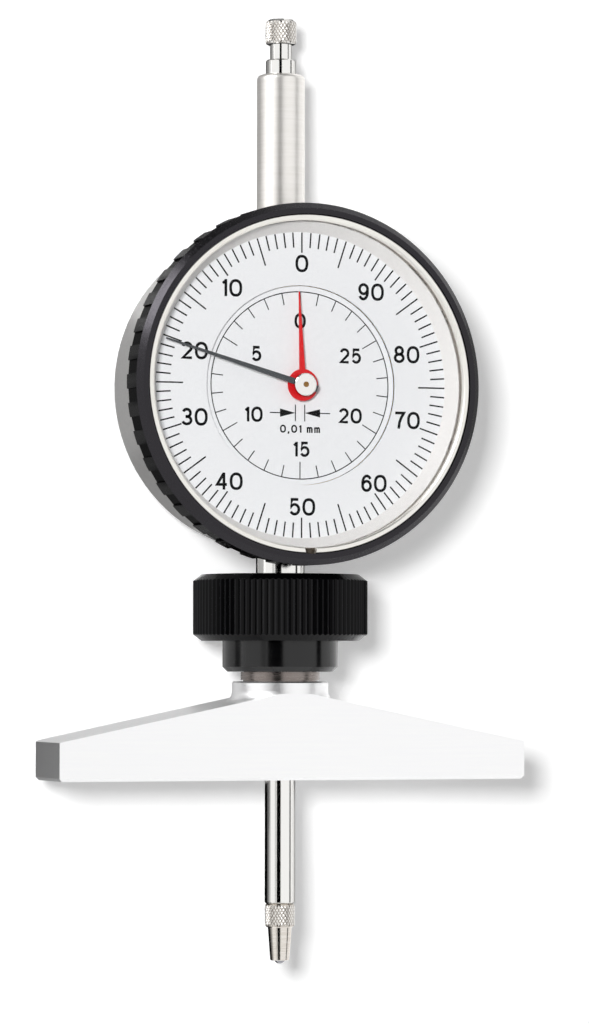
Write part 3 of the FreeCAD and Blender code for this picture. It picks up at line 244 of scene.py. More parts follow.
class Shape:
    """Corners and faces gathered for one piece."""

    def __init__(self):
        self.corners = []
        self.faces = []

    def add(self, corners, faces):
        start = len(self.corners)
        self.corners += [tuple(corner) for corner in corners]
        self.faces += [tuple(start + index for index in face) for face in faces]

    def slab(self, outline, low, high):
        """An upright slab over a flat outline that runs counter-clockwise."""
        count = len(outline)
        corners = [(x, y, low) for x, y in outline] + [(x, y, high) for x, y in outline]
        sides = [(i, (i + 1) % count, (i + 1) % count + count, i + count) for i in range(count)]
        self.add(corners, [tuple(range(count))[::-1], tuple(range(count, 2 * count))] + sides)

    def ribbon(self, points, half, low, high, looped):
        """A raised line of even width along flat points, mitred where it turns."""
        count = len(points)
        rims = []
        for index in range(count):
            before, after = (index - 1) % count, (index + 1) % count
            if not looped:
                before, after = max(index - 1, 0), min(index + 1, count - 1)
            here = Vector(points[index])
            into = (here - Vector(points[before])) if before != index else None
            onward = (Vector(points[after]) - here) if after != index else None
            into = (into or onward).normalized()
            onward = (onward or into).normalized()
            across = Vector((-into.y - onward.y, into.x + onward.x)).normalized()
            reach = half / max(across.dot(Vector((-into.y, into.x))), 0.5)
            rims.append((here + across * reach, here - across * reach))
        corners = []
        for left, right in rims:
            corners += [(*right, low), (*left, low), (*left, high), (*right, high)]
        faces = [] if looped else [(0, 1, 2, 3), tuple(4 * (count - 1) + side for side in (3, 2, 1, 0))]
        for index in range(count if looped else count - 1):
            after = (index + 1) % count
            for side in range(4):
                beside = (side + 1) % 4
                faces.append((4 * index + side, 4 * after + side, 4 * after + beside, 4 * index + beside))
        self.add(corners, faces)

    def ring(self, centre, inner, outer, low, high, steps):
        """A flat ring with square edges."""
        corners = []
        for step in range(steps):
            turn = math.tau * step / steps
            for radius, height in ((inner, low), (outer, low), (outer, high), (inner, high)):
                corners.append((centre[0] + radius * math.cos(turn), centre[1] + radius * math.sin(turn), height))
        faces = []
        for step in range(steps):
            after = (step + 1) % steps
            for side in range(4):
                beside = (side + 1) % 4
                faces.append((4 * step + side, 4 * step + beside, 4 * after + beside, 4 * after + side))
        self.add(corners, [face[::-1] for face in faces])

    def piece(self, name, body, material, slot=None, smooth_angle=None):
        """Makes the object, lets it ride on a body and gives it its material."""
        mesh = bpy.data.meshes.new(name)
        mesh.from_pydata(self.corners, [], self.faces)
        mesh.validate()
        if smooth_angle is not None:
            mesh.shade_smooth()
            mesh.set_sharp_from_angle(angle=math.radians(smooth_angle))
        made = bpy.data.objects.new(name, mesh)
        bpy.context.scene.collection.objects.link(made)
        made.data.materials.append(material)
        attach(made, body)
        return made


def tick(shape, turn, outer, length, width, low, high):
    """A line of the scale, running in from the outer radius."""
    along = Vector((-math.sin(turn), math.cos(turn)))
    across = Vector((math.cos(turn), math.sin(turn)))
    centre = Vector(DIAL_CENTRE.xy)
    near, far = centre + along * (outer - length), centre + along * outer
    half = across * width / 2
    shape.slab([near - half, near + half, far + half, far - half], low, high)


def bow(x, y, wide, high, start, end, steps=16):
    """Points on an oval between two angles in degrees, in parts of a numeral's height."""
    turns = [math.radians(start + (end - start) * step / steps) for step in range(steps + 1)]
    return [(x + wide * math.cos(turn), y + high * math.sin(turn)) for turn in turns]


def round_zero(wide, squareness=2.35, steps=32):
    """The nought's oval, a little squarer than an ellipse."""
    share = 2 / squareness
    points = []
    for step in range(steps):
        turn = math.tau * step / steps
        across, up = math.cos(turn), math.sin(turn)
        points.append((wide * (1 + math.copysign(abs(across) ** share, across)),
                       0.5 + 0.5 * math.copysign(abs(up) ** share, up)))
    return points


# Each character's width and strokes, in parts of its height. A straight stroke that ends on the top or base
# line runs END past it, about half a stroke's width, to reach the outer edge of the bowed ones.
END = 0.077
SIX = [bow(0.31, 0.32, 0.29, 0.32, 0, 345), bow(0.33, 0.52, 0.31, 0.48, 35, 190)]
STROKES = {
    "0": (0.737, [round_zero(0.3685)]),
    "1": (0.22, [[(0.0, 0.80), (0.22, 0.97)], [(0.22, 1 + END), (0.22, -END)]]),
    "2": (0.62, [bow(0.31, 0.70, 0.30, 0.30, 165, -36) + [(0.02, 0.0), (0.62 + END / 2, 0.0)]]),
    "3": (0.60, [bow(0.29, 0.745, 0.26, 0.255, 160, -90) + [(0.20, 0.49)],
                 [(0.20, 0.51)] + bow(0.29, 0.255, 0.30, 0.255, 90, -162)]),
    "4": (0.67, [[(0.50, 1 + END), (0.50, -END)], [(0.47, 1.0), (0.02, 0.27), (0.67 + END / 2, 0.27)]]),
    "5": (0.62, [[(0.57, 1.0), (0.11, 1.0), (0.05, 0.50)] + bow(0.30, 0.33, 0.31, 0.33, 140, -152)]),
    "6": (0.60, SIX),
    "7": (0.60, [[(-END / 2, 1.0), (0.60, 1.0), (0.42, 0.70), (0.28, 0.35), (0.22, -END)]]),
    "8": (0.62, [bow(0.31, 0.75, 0.25, 0.25, 0, 345), bow(0.31, 0.26, 0.30, 0.26, 0, 345)]),
    "9": (0.60, [[(0.60 - x, 1 - y) for x, y in stroke] for stroke in SIX]),
    ",": (0.10, [[(0.10, 0.10), (0.0, -0.28)]]),
    "m": (0.72, [[(0.0, -END), (0.0, 0.72 + END)],
                 bow(0.18, 0.50, 0.18, 0.22, 170, 0, 8) + [(0.36, -END)],
                 bow(0.54, 0.50, 0.18, 0.22, 170, 0, 8) + [(0.72, -END)]]),
    " ": (0.12, []),
}
CLOSED = ("0", "6", "8", "9")


def lettering(shape, text, centre, height, stroke, low, high, tracking=0.0):
    """Plain numbers or letters of one stroke width, centred on a point and raised between two levels."""
    scale = height - stroke
    gap = stroke * 1.75 + tracking
    widths = [STROKES[letter][0] * scale for letter in text]
    left = centre[0] - (sum(widths) + gap * (len(text) - 1)) / 2
    foot = centre[1] - scale / 2
    for letter, width in zip(text, widths):
        for index, line in enumerate(STROKES[letter][1]):
            looped = letter == "8" or (letter in CLOSED and index == 0)
            shape.ribbon([(left + x * scale, foot + y * scale) for x, y in line], stroke / 2, low, high, looped)
        left += width + gap


def turned(shape, outline, steps):
    """A turned form round an axis along Y, from pairs of radius and height; a radius of zero closes an end."""
    rows = []
    for radius, height in outline:
        if radius <= 0:
            rows.append([(0.0, height, 0.0)])
        else:
            rows.append([(radius * math.cos(math.tau * i / steps), height, radius * math.sin(math.tau * i / steps))
                         for i in range(steps)])
    corners, starts = [], []
    for row in rows:
        starts.append(len(corners))
        corners += row
    faces = []
    for index in range(len(rows) - 1):
        low, high = starts[index], starts[index + 1]
        for i in range(steps):
            j = (i + 1) % steps
            if len(rows[index]) == 1:
                faces.append((low, high + i, high + j))
            elif len(rows[index + 1]) == 1:
                faces.append((low + j, low + i, high))
            else:
                faces.append((low + j, low + i, high + i, high + j))
    shape.add(corners, faces)


def knurl(shape, low, high, crest, depth, diamonds, rows):
    """A band of pyramids round the Y axis, between two crossing sets of grooves."""
    steps = 2 * diamonds
    corners = []
    for row in range(rows + 1):
        height = low + (high - low) * row / rows
        for step in range(steps):
            at_crest = (row + step) % 2 == 0 and 0 < row < rows
            radius = crest if at_crest else crest - depth
            turn = math.tau * step / steps
            corners.append((radius * math.cos(turn), height, radius * math.sin(turn)))
    faces = []
    for row in range(rows):
        for step in range(steps):
            a = row * steps + step
            b = row * steps + (step + 1) % steps
            c, d = a + steps, b + steps
            if (row + step) % 2 == 0:
                faces += [(a, c, b), (b, c, d)]
            else:
                faces += [(a, c, d), (a, d, b)]
    shape.add(corners, faces)


def paper_level(y):
    """Height of the paper, on which the nut's rim lies; it rises a little towards the upper tube."""
    return -14.37 * MM + (y - 32.5 * MM) * math.tan(math.radians(3.4))


# Finishes

def ground_chromed_steel():
    """Tool steel, surface ground along its length and satin chromed: near white, with faint long lines."""
    material, shader, place = surface("ground_chromed_steel", 0xFCFCFC, 1.0, 0.35)
    worn(material, shader, place, (14.0, 0.5, 0.5), 0.33, 0.37, (0xFBFBFC, 0xFDFDFD), 0.015, 0.01)
    return material


def turned_satin_chrome():
    """Steel turned and satin chromed: fine rings round the tube that spread the light across it."""
    material, shader, place = surface("turned_satin_chrome", 0xF6F3EE, 1.0, 0.37)
    worn(material, shader, place, (8.0, 0.4, 8.0), 0.34, 0.4, (0xF3F0EB, 0xF9F6F2), 0.02, 0.01)
    return material


def hardened_collet_steel():
    """Spring steel, hardened and left brown from the bath, then polished: a dark warm mirror."""
    material, shader, place = surface("hardened_collet_steel", 0x8C8480, 1.0, 0.26)
    worn(material, shader, place, (4.0, 0.3, 4.0), 0.22, 0.32, (0x847B77, 0x948C88))
    return material


def satin_chromed_case():
    """Brass case, turned, glass-bead blasted and chromed: an even mid grey with a soft fine grain."""
    material, shader, place = surface("satin_chromed_case", 0xB4B3B2, 1.0, 0.42)
    worn(material, shader, place, (0.4, 0.4, 0.4), 0.38, 0.50, (0xAEADAC, 0xBAB9B8), 0.08, 0.02)
    return material


def polished_chrome():
    """Ground steel rod, hard chromed and polished: a mirror with sharp dark bands."""
    material, shader, place = surface("polished_chrome", 0xF2F1EE, 1.0, 0.1, Specular_Tint=linear(0x6A6A6A))
    worn(material, shader, place, (3.0, 0.3, 3.0), 0.08, 0.13)
    return material


def knurled_chrome(crest, depth):
    """Rolled knurl under bright chrome: pale points, with painted shade that darkens the grooves between them."""
    material, shader, place = surface("knurled_chrome", 0xF5F2ED, 1.0, 0.4)
    worn(material, shader, place, (0.5, 0.5, 0.5), 0.34, 0.46)
    radius = axis_distance(material, place, (0, 0, 0), (1, 0, 1))
    # Painted shade: the colour darkens from the pale crests into dark groove bottoms, where the knurl would lie in
    # shade.
    tone = graded(material, radius, crest - depth * 1.05, crest - depth * 0.5, 0xA0968C, 0xFCFAF6)
    material.node_tree.links.new(tone, shader.inputs["Base Color"])
    return material


def turned_tool_steel():
    """Silver steel, turned and fine ground: a warm grey, softer mirror than the chromed plunger."""
    material, shader, place = surface("turned_tool_steel", 0xE2DCD4, 1.0, 0.15)
    worn(material, shader, place, (3.0, 0.25, 3.0), 0.12, 0.2, (0xDCD5CC, 0xE8E3DC))
    return material


def black_anodised_aluminium():
    """Aluminium dyed black in the bath: a glossy turned hub under a duller fluted head, with a painted highlight that
    makes its flute crests paler.
    """
    material, shader, place = surface("black_anodised_aluminium", 0x040405, 0.0, 0.16, Specular_IOR_Level=0.45)
    worn(material, shader, place, (2.0, 0.4, 2.0), 0.12, 0.2)
    radius = axis_distance(material, place, (0, 0, 0), (1, 0, 1))
    crest = 14.4 * MM
    hub = 9.6 * MM
    # Painted highlight: the flute crests are coloured paler than the black flutes, standing in for light catching
    # their edges.
    tone = graded(material, radius, crest - 0.2 * MM, crest, 0x040405, 0x242426)
    gloss = graded(material, radius, hub, hub + 0.6 * MM, 0.5, 0.12)
    material.node_tree.links.new(tone, shader.inputs["Base Color"])
    material.node_tree.links.new(gloss, shader.inputs["Specular IOR Level"])
    return material


def black_bezel_finish():
    """Aluminium dyed black: bright on the front and chamfer, dull on the lands of the grip notches, and with painted
    shade that weakens the reflection further in the notch recesses.
    """
    material, shader, place = surface("black_anodised_bezel", 0x060607, 0.0, 0.24, Specular_IOR_Level=0.48,
                                      Specular_Tint=linear(0xF4EEFA))
    worn(material, shader, place, (0.5, 0.5, 0.5), 0.2, 0.3)
    low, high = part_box("bezel")
    land = (high[0] - low[0]) / 2
    radius = axis_distance(material, place, dial_axis("bezel"), (1, 1, 0))
    # Painted shade: the reflection drops further in the notch recesses than on the lands, as if the recesses lay in
    # shade.
    side = graded(material, radius, land - 0.22 * MM, land - 0.12 * MM, 0.004, 0.02)
    facing = add_node(material, "ShaderNodeSeparateXYZ", {
        0: add_node(material, "ShaderNodeTexCoord").outputs["Normal"]})
    gloss = add_node(material, "ShaderNodeMapRange", {"Value": facing.outputs["Z"], "From Min": 0.2, "From Max": 0.5,
                                                      "To Min": side, "To Max": 0.48})
    material.node_tree.links.new(gloss.outputs["Result"], shader.inputs["Specular IOR Level"])
    return material


def bright_screw_steel():
    """Screw steel, turned and nickelled: small bright heads with turning rings."""
    material, shader, place = surface("bright_screw_steel", 0xC4C4C6, 1.0, 0.24)
    worn(material, shader, place, (0.6, 0.6, 0.3), 0.18, 0.34)
    return material


def turned_bronze():
    """Bearing bronze, bored and reamed: warm brown metal, dull from oil."""
    material, shader, place = surface("turned_bronze", 0x8F6C3E, 1.0, 0.34)
    worn(material, shader, place, (3.0, 0.3, 3.0), 0.28, 0.44, (0x836136, 0x9C7848))
    return material


def clock_brass():
    """Rolled clock brass, fine ground: pale gold with a straight grain."""
    material, shader, place = surface("clock_brass", 0xD9B869, 1.0, 0.28)
    worn(material, shader, place, (0.3, 5.0, 0.3), 0.22, 0.38, (0xCDAA5B, 0xE2C47A))
    return material


def spring_wire():
    """Tempered spring steel: drawn smooth, with a faint straw and blue cast."""
    material, shader, place = surface("spring_wire", 0x9A9CA6, 1.0, 0.3)
    worn(material, shader, place, (1.5, 1.5, 1.5), 0.24, 0.38, (0x8C90A0, 0xA9A69C))
    return material


def arbor_steel():
    """Silver steel, turned and burnished: clean grey pivots."""
    material, shader, place = surface("burnished_arbor_steel", 0xBDBDC0, 1.0, 0.18)
    worn(material, shader, place, (0.8, 0.8, 0.2), 0.12, 0.26)
    return material


def dial_lacquer():
    """Aluminium dial plate under sprayed matt lacquer: cool white with a faint orange peel."""
    material, shader, place = surface("dial_lacquer", 0xF0F1F3, 0.0, 0.55, IOR=1.48)
    worn(material, shader, place, (0.5, 0.5, 0.5), 0.48, 0.62, (0xEEEFF1, 0xF2F3F5), 0.05, 0.01)
    return material


def turned_aluminium():
    """Aluminium snap ring, turned bright and left bare: creamy white, with painted shade as a dark line where it meets
    the crystal.
    """
    material, shader, place = surface("turned_aluminium", 0xE9E7E0, 1.0, 0.34)
    worn(material, shader, place, (4.0, 4.0, 0.2), 0.28, 0.42)
    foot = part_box("crystal_ring")[0][2] + dial_axis("crystal_ring").z
    height = add_node(material, "ShaderNodeSeparateXYZ", {0: place}).outputs["Z"]
    # Painted shade: the ring is coloured dark near its foot, standing in for the shadowed gap where it meets the
    # crystal.
    tone = graded(material, height, foot + 0.3 * MM, foot + 0.85 * MM, 0x8E857C, 0xF2F0EA)
    material.node_tree.links.new(tone, shader.inputs["Base Color"])
    return material


def rim_lacquer():
    """Turned rim under the same sprayed lacquer as the dial, a shade warmer where it slopes."""
    material, shader, place = surface("rim_lacquer", 0xEEECEA, 0.0, 0.45, IOR=1.48)
    worn(material, shader, place, (0.6, 0.6, 0.6), 0.38, 0.52, (0xECEAE8, 0xF1EFED))
    return material


def acrylic_crystal():
    """Cast acrylic, polished: clear, with a weak mirror image of the room and a painted shade border under the ring.
    """
    material, shader, place = surface("acrylic_crystal", 0xFFFFFF, 1.0, 0.03)
    worn(material, shader, place, (6.0, 6.0, 6.0), 0.02, 0.04)
    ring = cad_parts["crystal_ring"]
    inner = min(((ring.matrix_world @ corner.co).xy - DIAL_CENTRE.xy).length for corner in ring.data.vertices)
    radius = axis_distance(material, place, dial_axis("crystal"), (1, 1, 0))
    # Painted shade: past the ring's inner edge the crystal is tinted dark, so a dark line shows along the ring.
    painted_shade_border = graded(material, radius, inner - 0.05 * MM, inner + 0.1 * MM, 0xFEFEFE, 0xB0ABA5)
    clear = add_node(material, "ShaderNodeBsdfTransparent", {"Color": painted_shade_border})
    mirror = add_node(material, "ShaderNodeFresnel", {"IOR": 1.14})
    outside = add_node(material, "ShaderNodeMapRange", {
        "Value": add_node(material, "ShaderNodeNewGeometry").outputs["Backfacing"],
        "To Min": mirror.outputs["Fac"], "To Max": 0.0})
    blend = add_node(material, "ShaderNodeMixShader", {0: outside.outputs["Result"], 1: clear.outputs["BSDF"],
                                                       2: shader.outputs["BSDF"]})
    tree = material.node_tree
    tree.links.new(blend.outputs["Shader"], tree.nodes["Material Output"].inputs["Surface"])
    return material


def studio_card(name, glow):
    """Matt card that mirrors as one even tone, from black at no glow to a window above one."""
    return surface(name, 0x000000, 0.0, 1.0, Specular_IOR_Level=0.0,
                   Emission_Color=(1, 1, 1, 1), Emission_Strength=glow)[0]


def polished_carbide():
    """Sintered hard metal, lapped and polished: darker than chrome, and as sharp a mirror."""
    material, shader, place = surface("polished_carbide", 0xA6A6AA, 1.0, 0.08)
    worn(material, shader, place, (0.2, 0.2, 0.2), 0.05, 0.12)
    return material


def grey_lacquer():
    """Aluminium hand under dark grey lacquer: dull, with a soft edge of light."""
    material, shader, place = surface("dark_grey_lacquer", 0x3E4144, 0.0, 0.42)
    worn(material, shader, place, (0.8, 0.8, 0.8), 0.36, 0.5, (0x3A3D40, 0x434649))
    return material


def red_lacquer():
    """Aluminium hand under signal red lacquer: strong colour and a little gloss."""
    material, shader, place = surface("signal_red_lacquer", 0xD60E16, 0.0, 0.35)
    worn(material, shader, place, (0.8, 0.8, 0.8), 0.3, 0.42, (0xD00C14, 0xDC1219))
    return material


def dial_ink():
    """Pad-printed ink: a thin matt black film with slight thick and thin places."""
    ink = bpy.context.scene.gauge_print.ink
    material, shader, place = surface("pad_printed_ink", 0x0C0C0E, 0.0, 0.6, Specular_IOR_Level=0.15)
    worn(material, shader, place, (0.6, 0.6, 0.6), 0.52, 0.7)
    shader.inputs["Base Color"].default_value = (*ink, 1.0)
    return material


# Operators

class GAUGE_OT_base(Operator):
    """Ground and chromed finish of the measuring base, its collet and the clamp nut"""
    bl_idname = "gauge.base"
    bl_label = "Base and clamp"

    def execute(self, context):
        dress("base_bridge", ground_chromed_steel())
        dress("clamp_collet", hardened_collet_steel())
        dress("clamp_nut", black_anodised_aluminium())
        return {"FINISHED"}


class GAUGE_OT_case(Operator):
    """Finish of the case, its cover, its tubes and its screws"""
    bl_idname = "gauge.case"
    bl_label = "Case and tubes"

    def execute(self, context):
        dress_all(("case", "back_cover"), satin_chromed_case())
        dress("upper_tube", turned_satin_chrome())
        dress("stem", polished_chrome())
        dress_all(("back_screws", "plate_screws", "bridge_screws"), bright_screw_steel())
        dress_all(("lower_bush", "upper_bush"), turned_bronze())
        return {"FINISHED"}


class GAUGE_OT_movement(Operator):
    """Finish of the plates, wheels, arbors and springs inside the case"""
    bl_idname = "gauge.movement"
    bl_label = "Movement"

    def execute(self, context):
        dress_all(("movement_plate", "front_bridge", "bridge_pillars", "spring_post", "hairspring_stud",
                   "first_gear", "counter_gear", "takeup_gear", "counter_pinion"), clock_brass())
        dress("centre_arbor", turned_bronze())
        dress_all(("hairspring", "bezel_wire", "return_spring"), spring_wire())
        dress_all(("rack_pinion", "takeup_arbor", "counter_tube", "rear_cock", "guide_rail"), arbor_steel())
        return {"FINISHED"}


class GAUGE_OT_bezel(Operator):
    """Finish of the turning bezel, its crystal, snap ring and rim"""
    bl_idname = "gauge.bezel"
    bl_label = "Bezel and crystal"

    def execute(self, context):
        dress("bezel", black_bezel_finish())
        dress("crystal", acrylic_crystal())
        dress("crystal_ring", turned_aluminium())
        dress("dial_rim", rim_lacquer())
        return {"FINISHED"}


class GAUGE_OT_dials(Operator):
    """Lacquered dials with their printed scales and numbers"""
    bl_idname = "gauge.dials"
    bl_label = "Dials and print"

    def execute(self, context):
        settings = context.scene.gauge_print
        dress_all(("inner_dial", "outer_dial"), dial_lacquer())
        ink = dial_ink()
        self.outer_scale(settings, ink)
        self.inner_scale(settings, ink)
        return {"FINISHED"}

    def outer_scale(self, settings, ink):
        """A hundred lines and the tens, counted counter-clockwise."""
        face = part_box("outer_dial")[1][2]
        low, high = face - settings.ink_height / 2, face + settings.ink_height
        scale = Shape()
        for line in range(100):
            length = settings.unit_tick
            if line % 10 == 0:
                length = settings.ten_tick
            elif line % 5 == 0:
                length = settings.five_tick
            tick(scale, math.tau * line / 100, settings.outer_radius, length, settings.tick_width, low, high)
        scale.piece("outer_scale", "bezel", ink)
        numbers = Shape()
        # number, then its place across and up from the dial's centre in millimetres
        places = ((0, 0.0, 19.8), (10, -12.0, 15.5), (20, -18.3, 5.2), (30, -18.3, -5.5), (40, -12.4, -15.8),
                  (50, 0.1, -19.8), (60, 12.5, -15.8), (70, 18.3, -5.4), (80, 18.2, 5.4), (90, 12.0, 15.5))
        for number, across, up in places:
            lettering(numbers, str(number), (DIAL_CENTRE.x + across * MM, DIAL_CENTRE.y + up * MM),
                      settings.outer_number_height, settings.number_stroke, low, high)
        numbers.piece("outer_numbers", "bezel", ink)

    def inner_scale(self, settings, ink):
        """Thirty millimetre lines inside a circle, their numbers and the division mark."""
        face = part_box("inner_dial")[1][2]
        low, high = face - settings.ink_height / 2, face + settings.ink_height
        scale = Shape()
        half = settings.inner_line / 2
        scale.ring(DIAL_CENTRE, settings.inner_radius - half, settings.inner_radius + half, low, high, 160)
        for line in range(30):
            length = settings.inner_tick if line % 5 else settings.inner_five_tick
            tick(scale, math.tau * line / 30, settings.inner_radius, length, settings.inner_line, low, high)
        scale.piece("inner_scale", "gauge", ink)
        numbers = Shape()
        # number, then its place across and up from the dial's centre in millimetres
        places = ((0, 0.0, 10.5), (5, -7.5, 5.0), (10, -8.0, -4.85), (15, 0.2, -10.4), (20, 8.7, -4.8), (25, 8.7, 5.0))
        for number, across, up in places:
            lettering(numbers, str(number), (DIAL_CENTRE.x + across * MM, DIAL_CENTRE.y + up * MM),
                      settings.inner_number_height, settings.number_stroke * 0.94, low, high)
        numbers.piece("inner_numbers", "gauge", ink)
        self.division_mark(settings, ink, low, high)

    def division_mark(self, settings, ink, low, high):
        """Two arrows that point at a pair of lines, over the value of one division."""
        mark = Shape()
        row = DIAL_CENTRE.y - 4.5 * MM
        line = settings.inner_line
        for side in (-1, 1):
            bar = DIAL_CENTRE.x + side * 0.8 * MM
            mark.slab([(bar - line / 2, row - 1.35 * MM), (bar + line / 2, row - 1.35 * MM),
                       (bar + line / 2, row + 1.35 * MM), (bar - line / 2, row + 1.35 * MM)], low, high)
            tip, back, tail = bar, bar + side * 2.65 * MM, bar + side * 4.4 * MM
            head = [(tip, row), (back, row + 0.68 * MM), (back, row - 0.68 * MM)]
            mark.slab(head if side < 0 else head[::-1], low, high)
            left, right = sorted((back, tail))
            mark.slab([(left, row - line / 2), (right, row - line / 2), (right, row + line / 2),
                       (left, row + line / 2)], low, high)
        lettering(mark, "0,01 mm", (DIAL_CENTRE.x, DIAL_CENTRE.y - 7.1 * MM), settings.mark_height,
                  0.26 * MM, low, high, 0.07 * MM)
        mark.piece("division_mark", "gauge", ink)


class GAUGE_OT_hands(Operator):
    """Lacquered hands under a bright cap"""
    bl_idname = "gauge.hands"
    bl_label = "Hands"

    def execute(self, context):
        dress("main_hand", grey_lacquer())
        dress("counter_hand", red_lacquer())
        dress("hub_cap", polished_chrome())
        return {"FINISHED"}


class GAUGE_OT_plunger(Operator):
    """Polished plunger with a knurled lifting knob and a knurled contact point"""
    bl_idname = "gauge.plunger"
    bl_label = "Plunger, knob and contact point"

    def execute(self, context):
        settings = context.scene.gauge_knurl
        chrome = polished_chrome()
        dress_all(("plunger", "guide_pin"), chrome)
        dress("contact_ball", polished_carbide())
        self.lifting_knob(settings, chrome)
        self.contact_point(settings, turned_tool_steel())
        return {"FINISHED"}

    def lifting_knob(self, settings, chrome):
        """A knurled head on a neck over a plain collar, with a crowned end."""
        low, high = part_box("lifting_knob")
        top, foot, crest = high[1], low[1], high[0]
        head = top - 4.1 * MM
        bore, collar, neck, crown = 1.25 * MM, 2.52 * MM, 1.8 * MM, 1.6 * MM
        collar_top, bevel = foot + 1.1 * MM, 0.1 * MM
        valley = crest - settings.depth
        knob = Shape()
        turned(knob, [(bore, foot), (collar - bevel, foot), (collar, foot + bevel), (collar, collar_top - bevel),
                      (collar - bevel, collar_top), (neck, collar_top), (neck, head), (valley - 0.12 * MM, head),
                      (valley, head + 0.12 * MM), (valley, top - 0.42 * MM), (valley - 0.5 * MM, top - 0.02 * MM),
                      (crown, top), (0.0, top)], 64)
        core = knob.piece("lifting_knob_core", "plunger", chrome, "polished_chrome", 28)
        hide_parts("lifting_knob")
        band = Shape()
        knurl(band, head + 0.08 * MM, top - 0.4 * MM, crest, settings.depth, settings.diamonds, settings.rows)
        band.piece("lifting_knob_knurl", "plunger", knurled_chrome(crest, settings.depth), "polished_chrome")

    def contact_point(self, settings, steel):
        """A knurled collar over a tapered nose, whose flat end holds the ball."""
        low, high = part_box("contact_point")
        collar_top, crest = -20.304 * MM, 2.5 * MM
        collar_foot = collar_top - 3.9 * MM
        tip, thread, bevel = low[1], 1.25 * MM, 0.2 * MM
        valley = crest - settings.depth
        point = Shape()
        turned(point, [(0.0, tip), (1.5 * MM, tip), (1.575 * MM, tip + 0.08 * MM), (1.98 * MM, collar_foot),
                       (valley - bevel, collar_foot), (valley, collar_foot + bevel), (valley, collar_top - bevel),
                       (valley - bevel, collar_top), (thread, collar_top), (thread, high[1]), (0.0, high[1])], 64)
        core = point.piece("contact_point_core", "plunger", steel, "turned_steel", 28)
        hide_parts("contact_point")
        band = Shape()
        knurl(band, collar_foot + 0.16 * MM, collar_top - 0.16 * MM, crest, settings.depth, settings.diamonds,
              settings.rows)
        band.piece("contact_point_knurl", "plunger", knurled_chrome(crest, settings.depth), "polished_chrome")


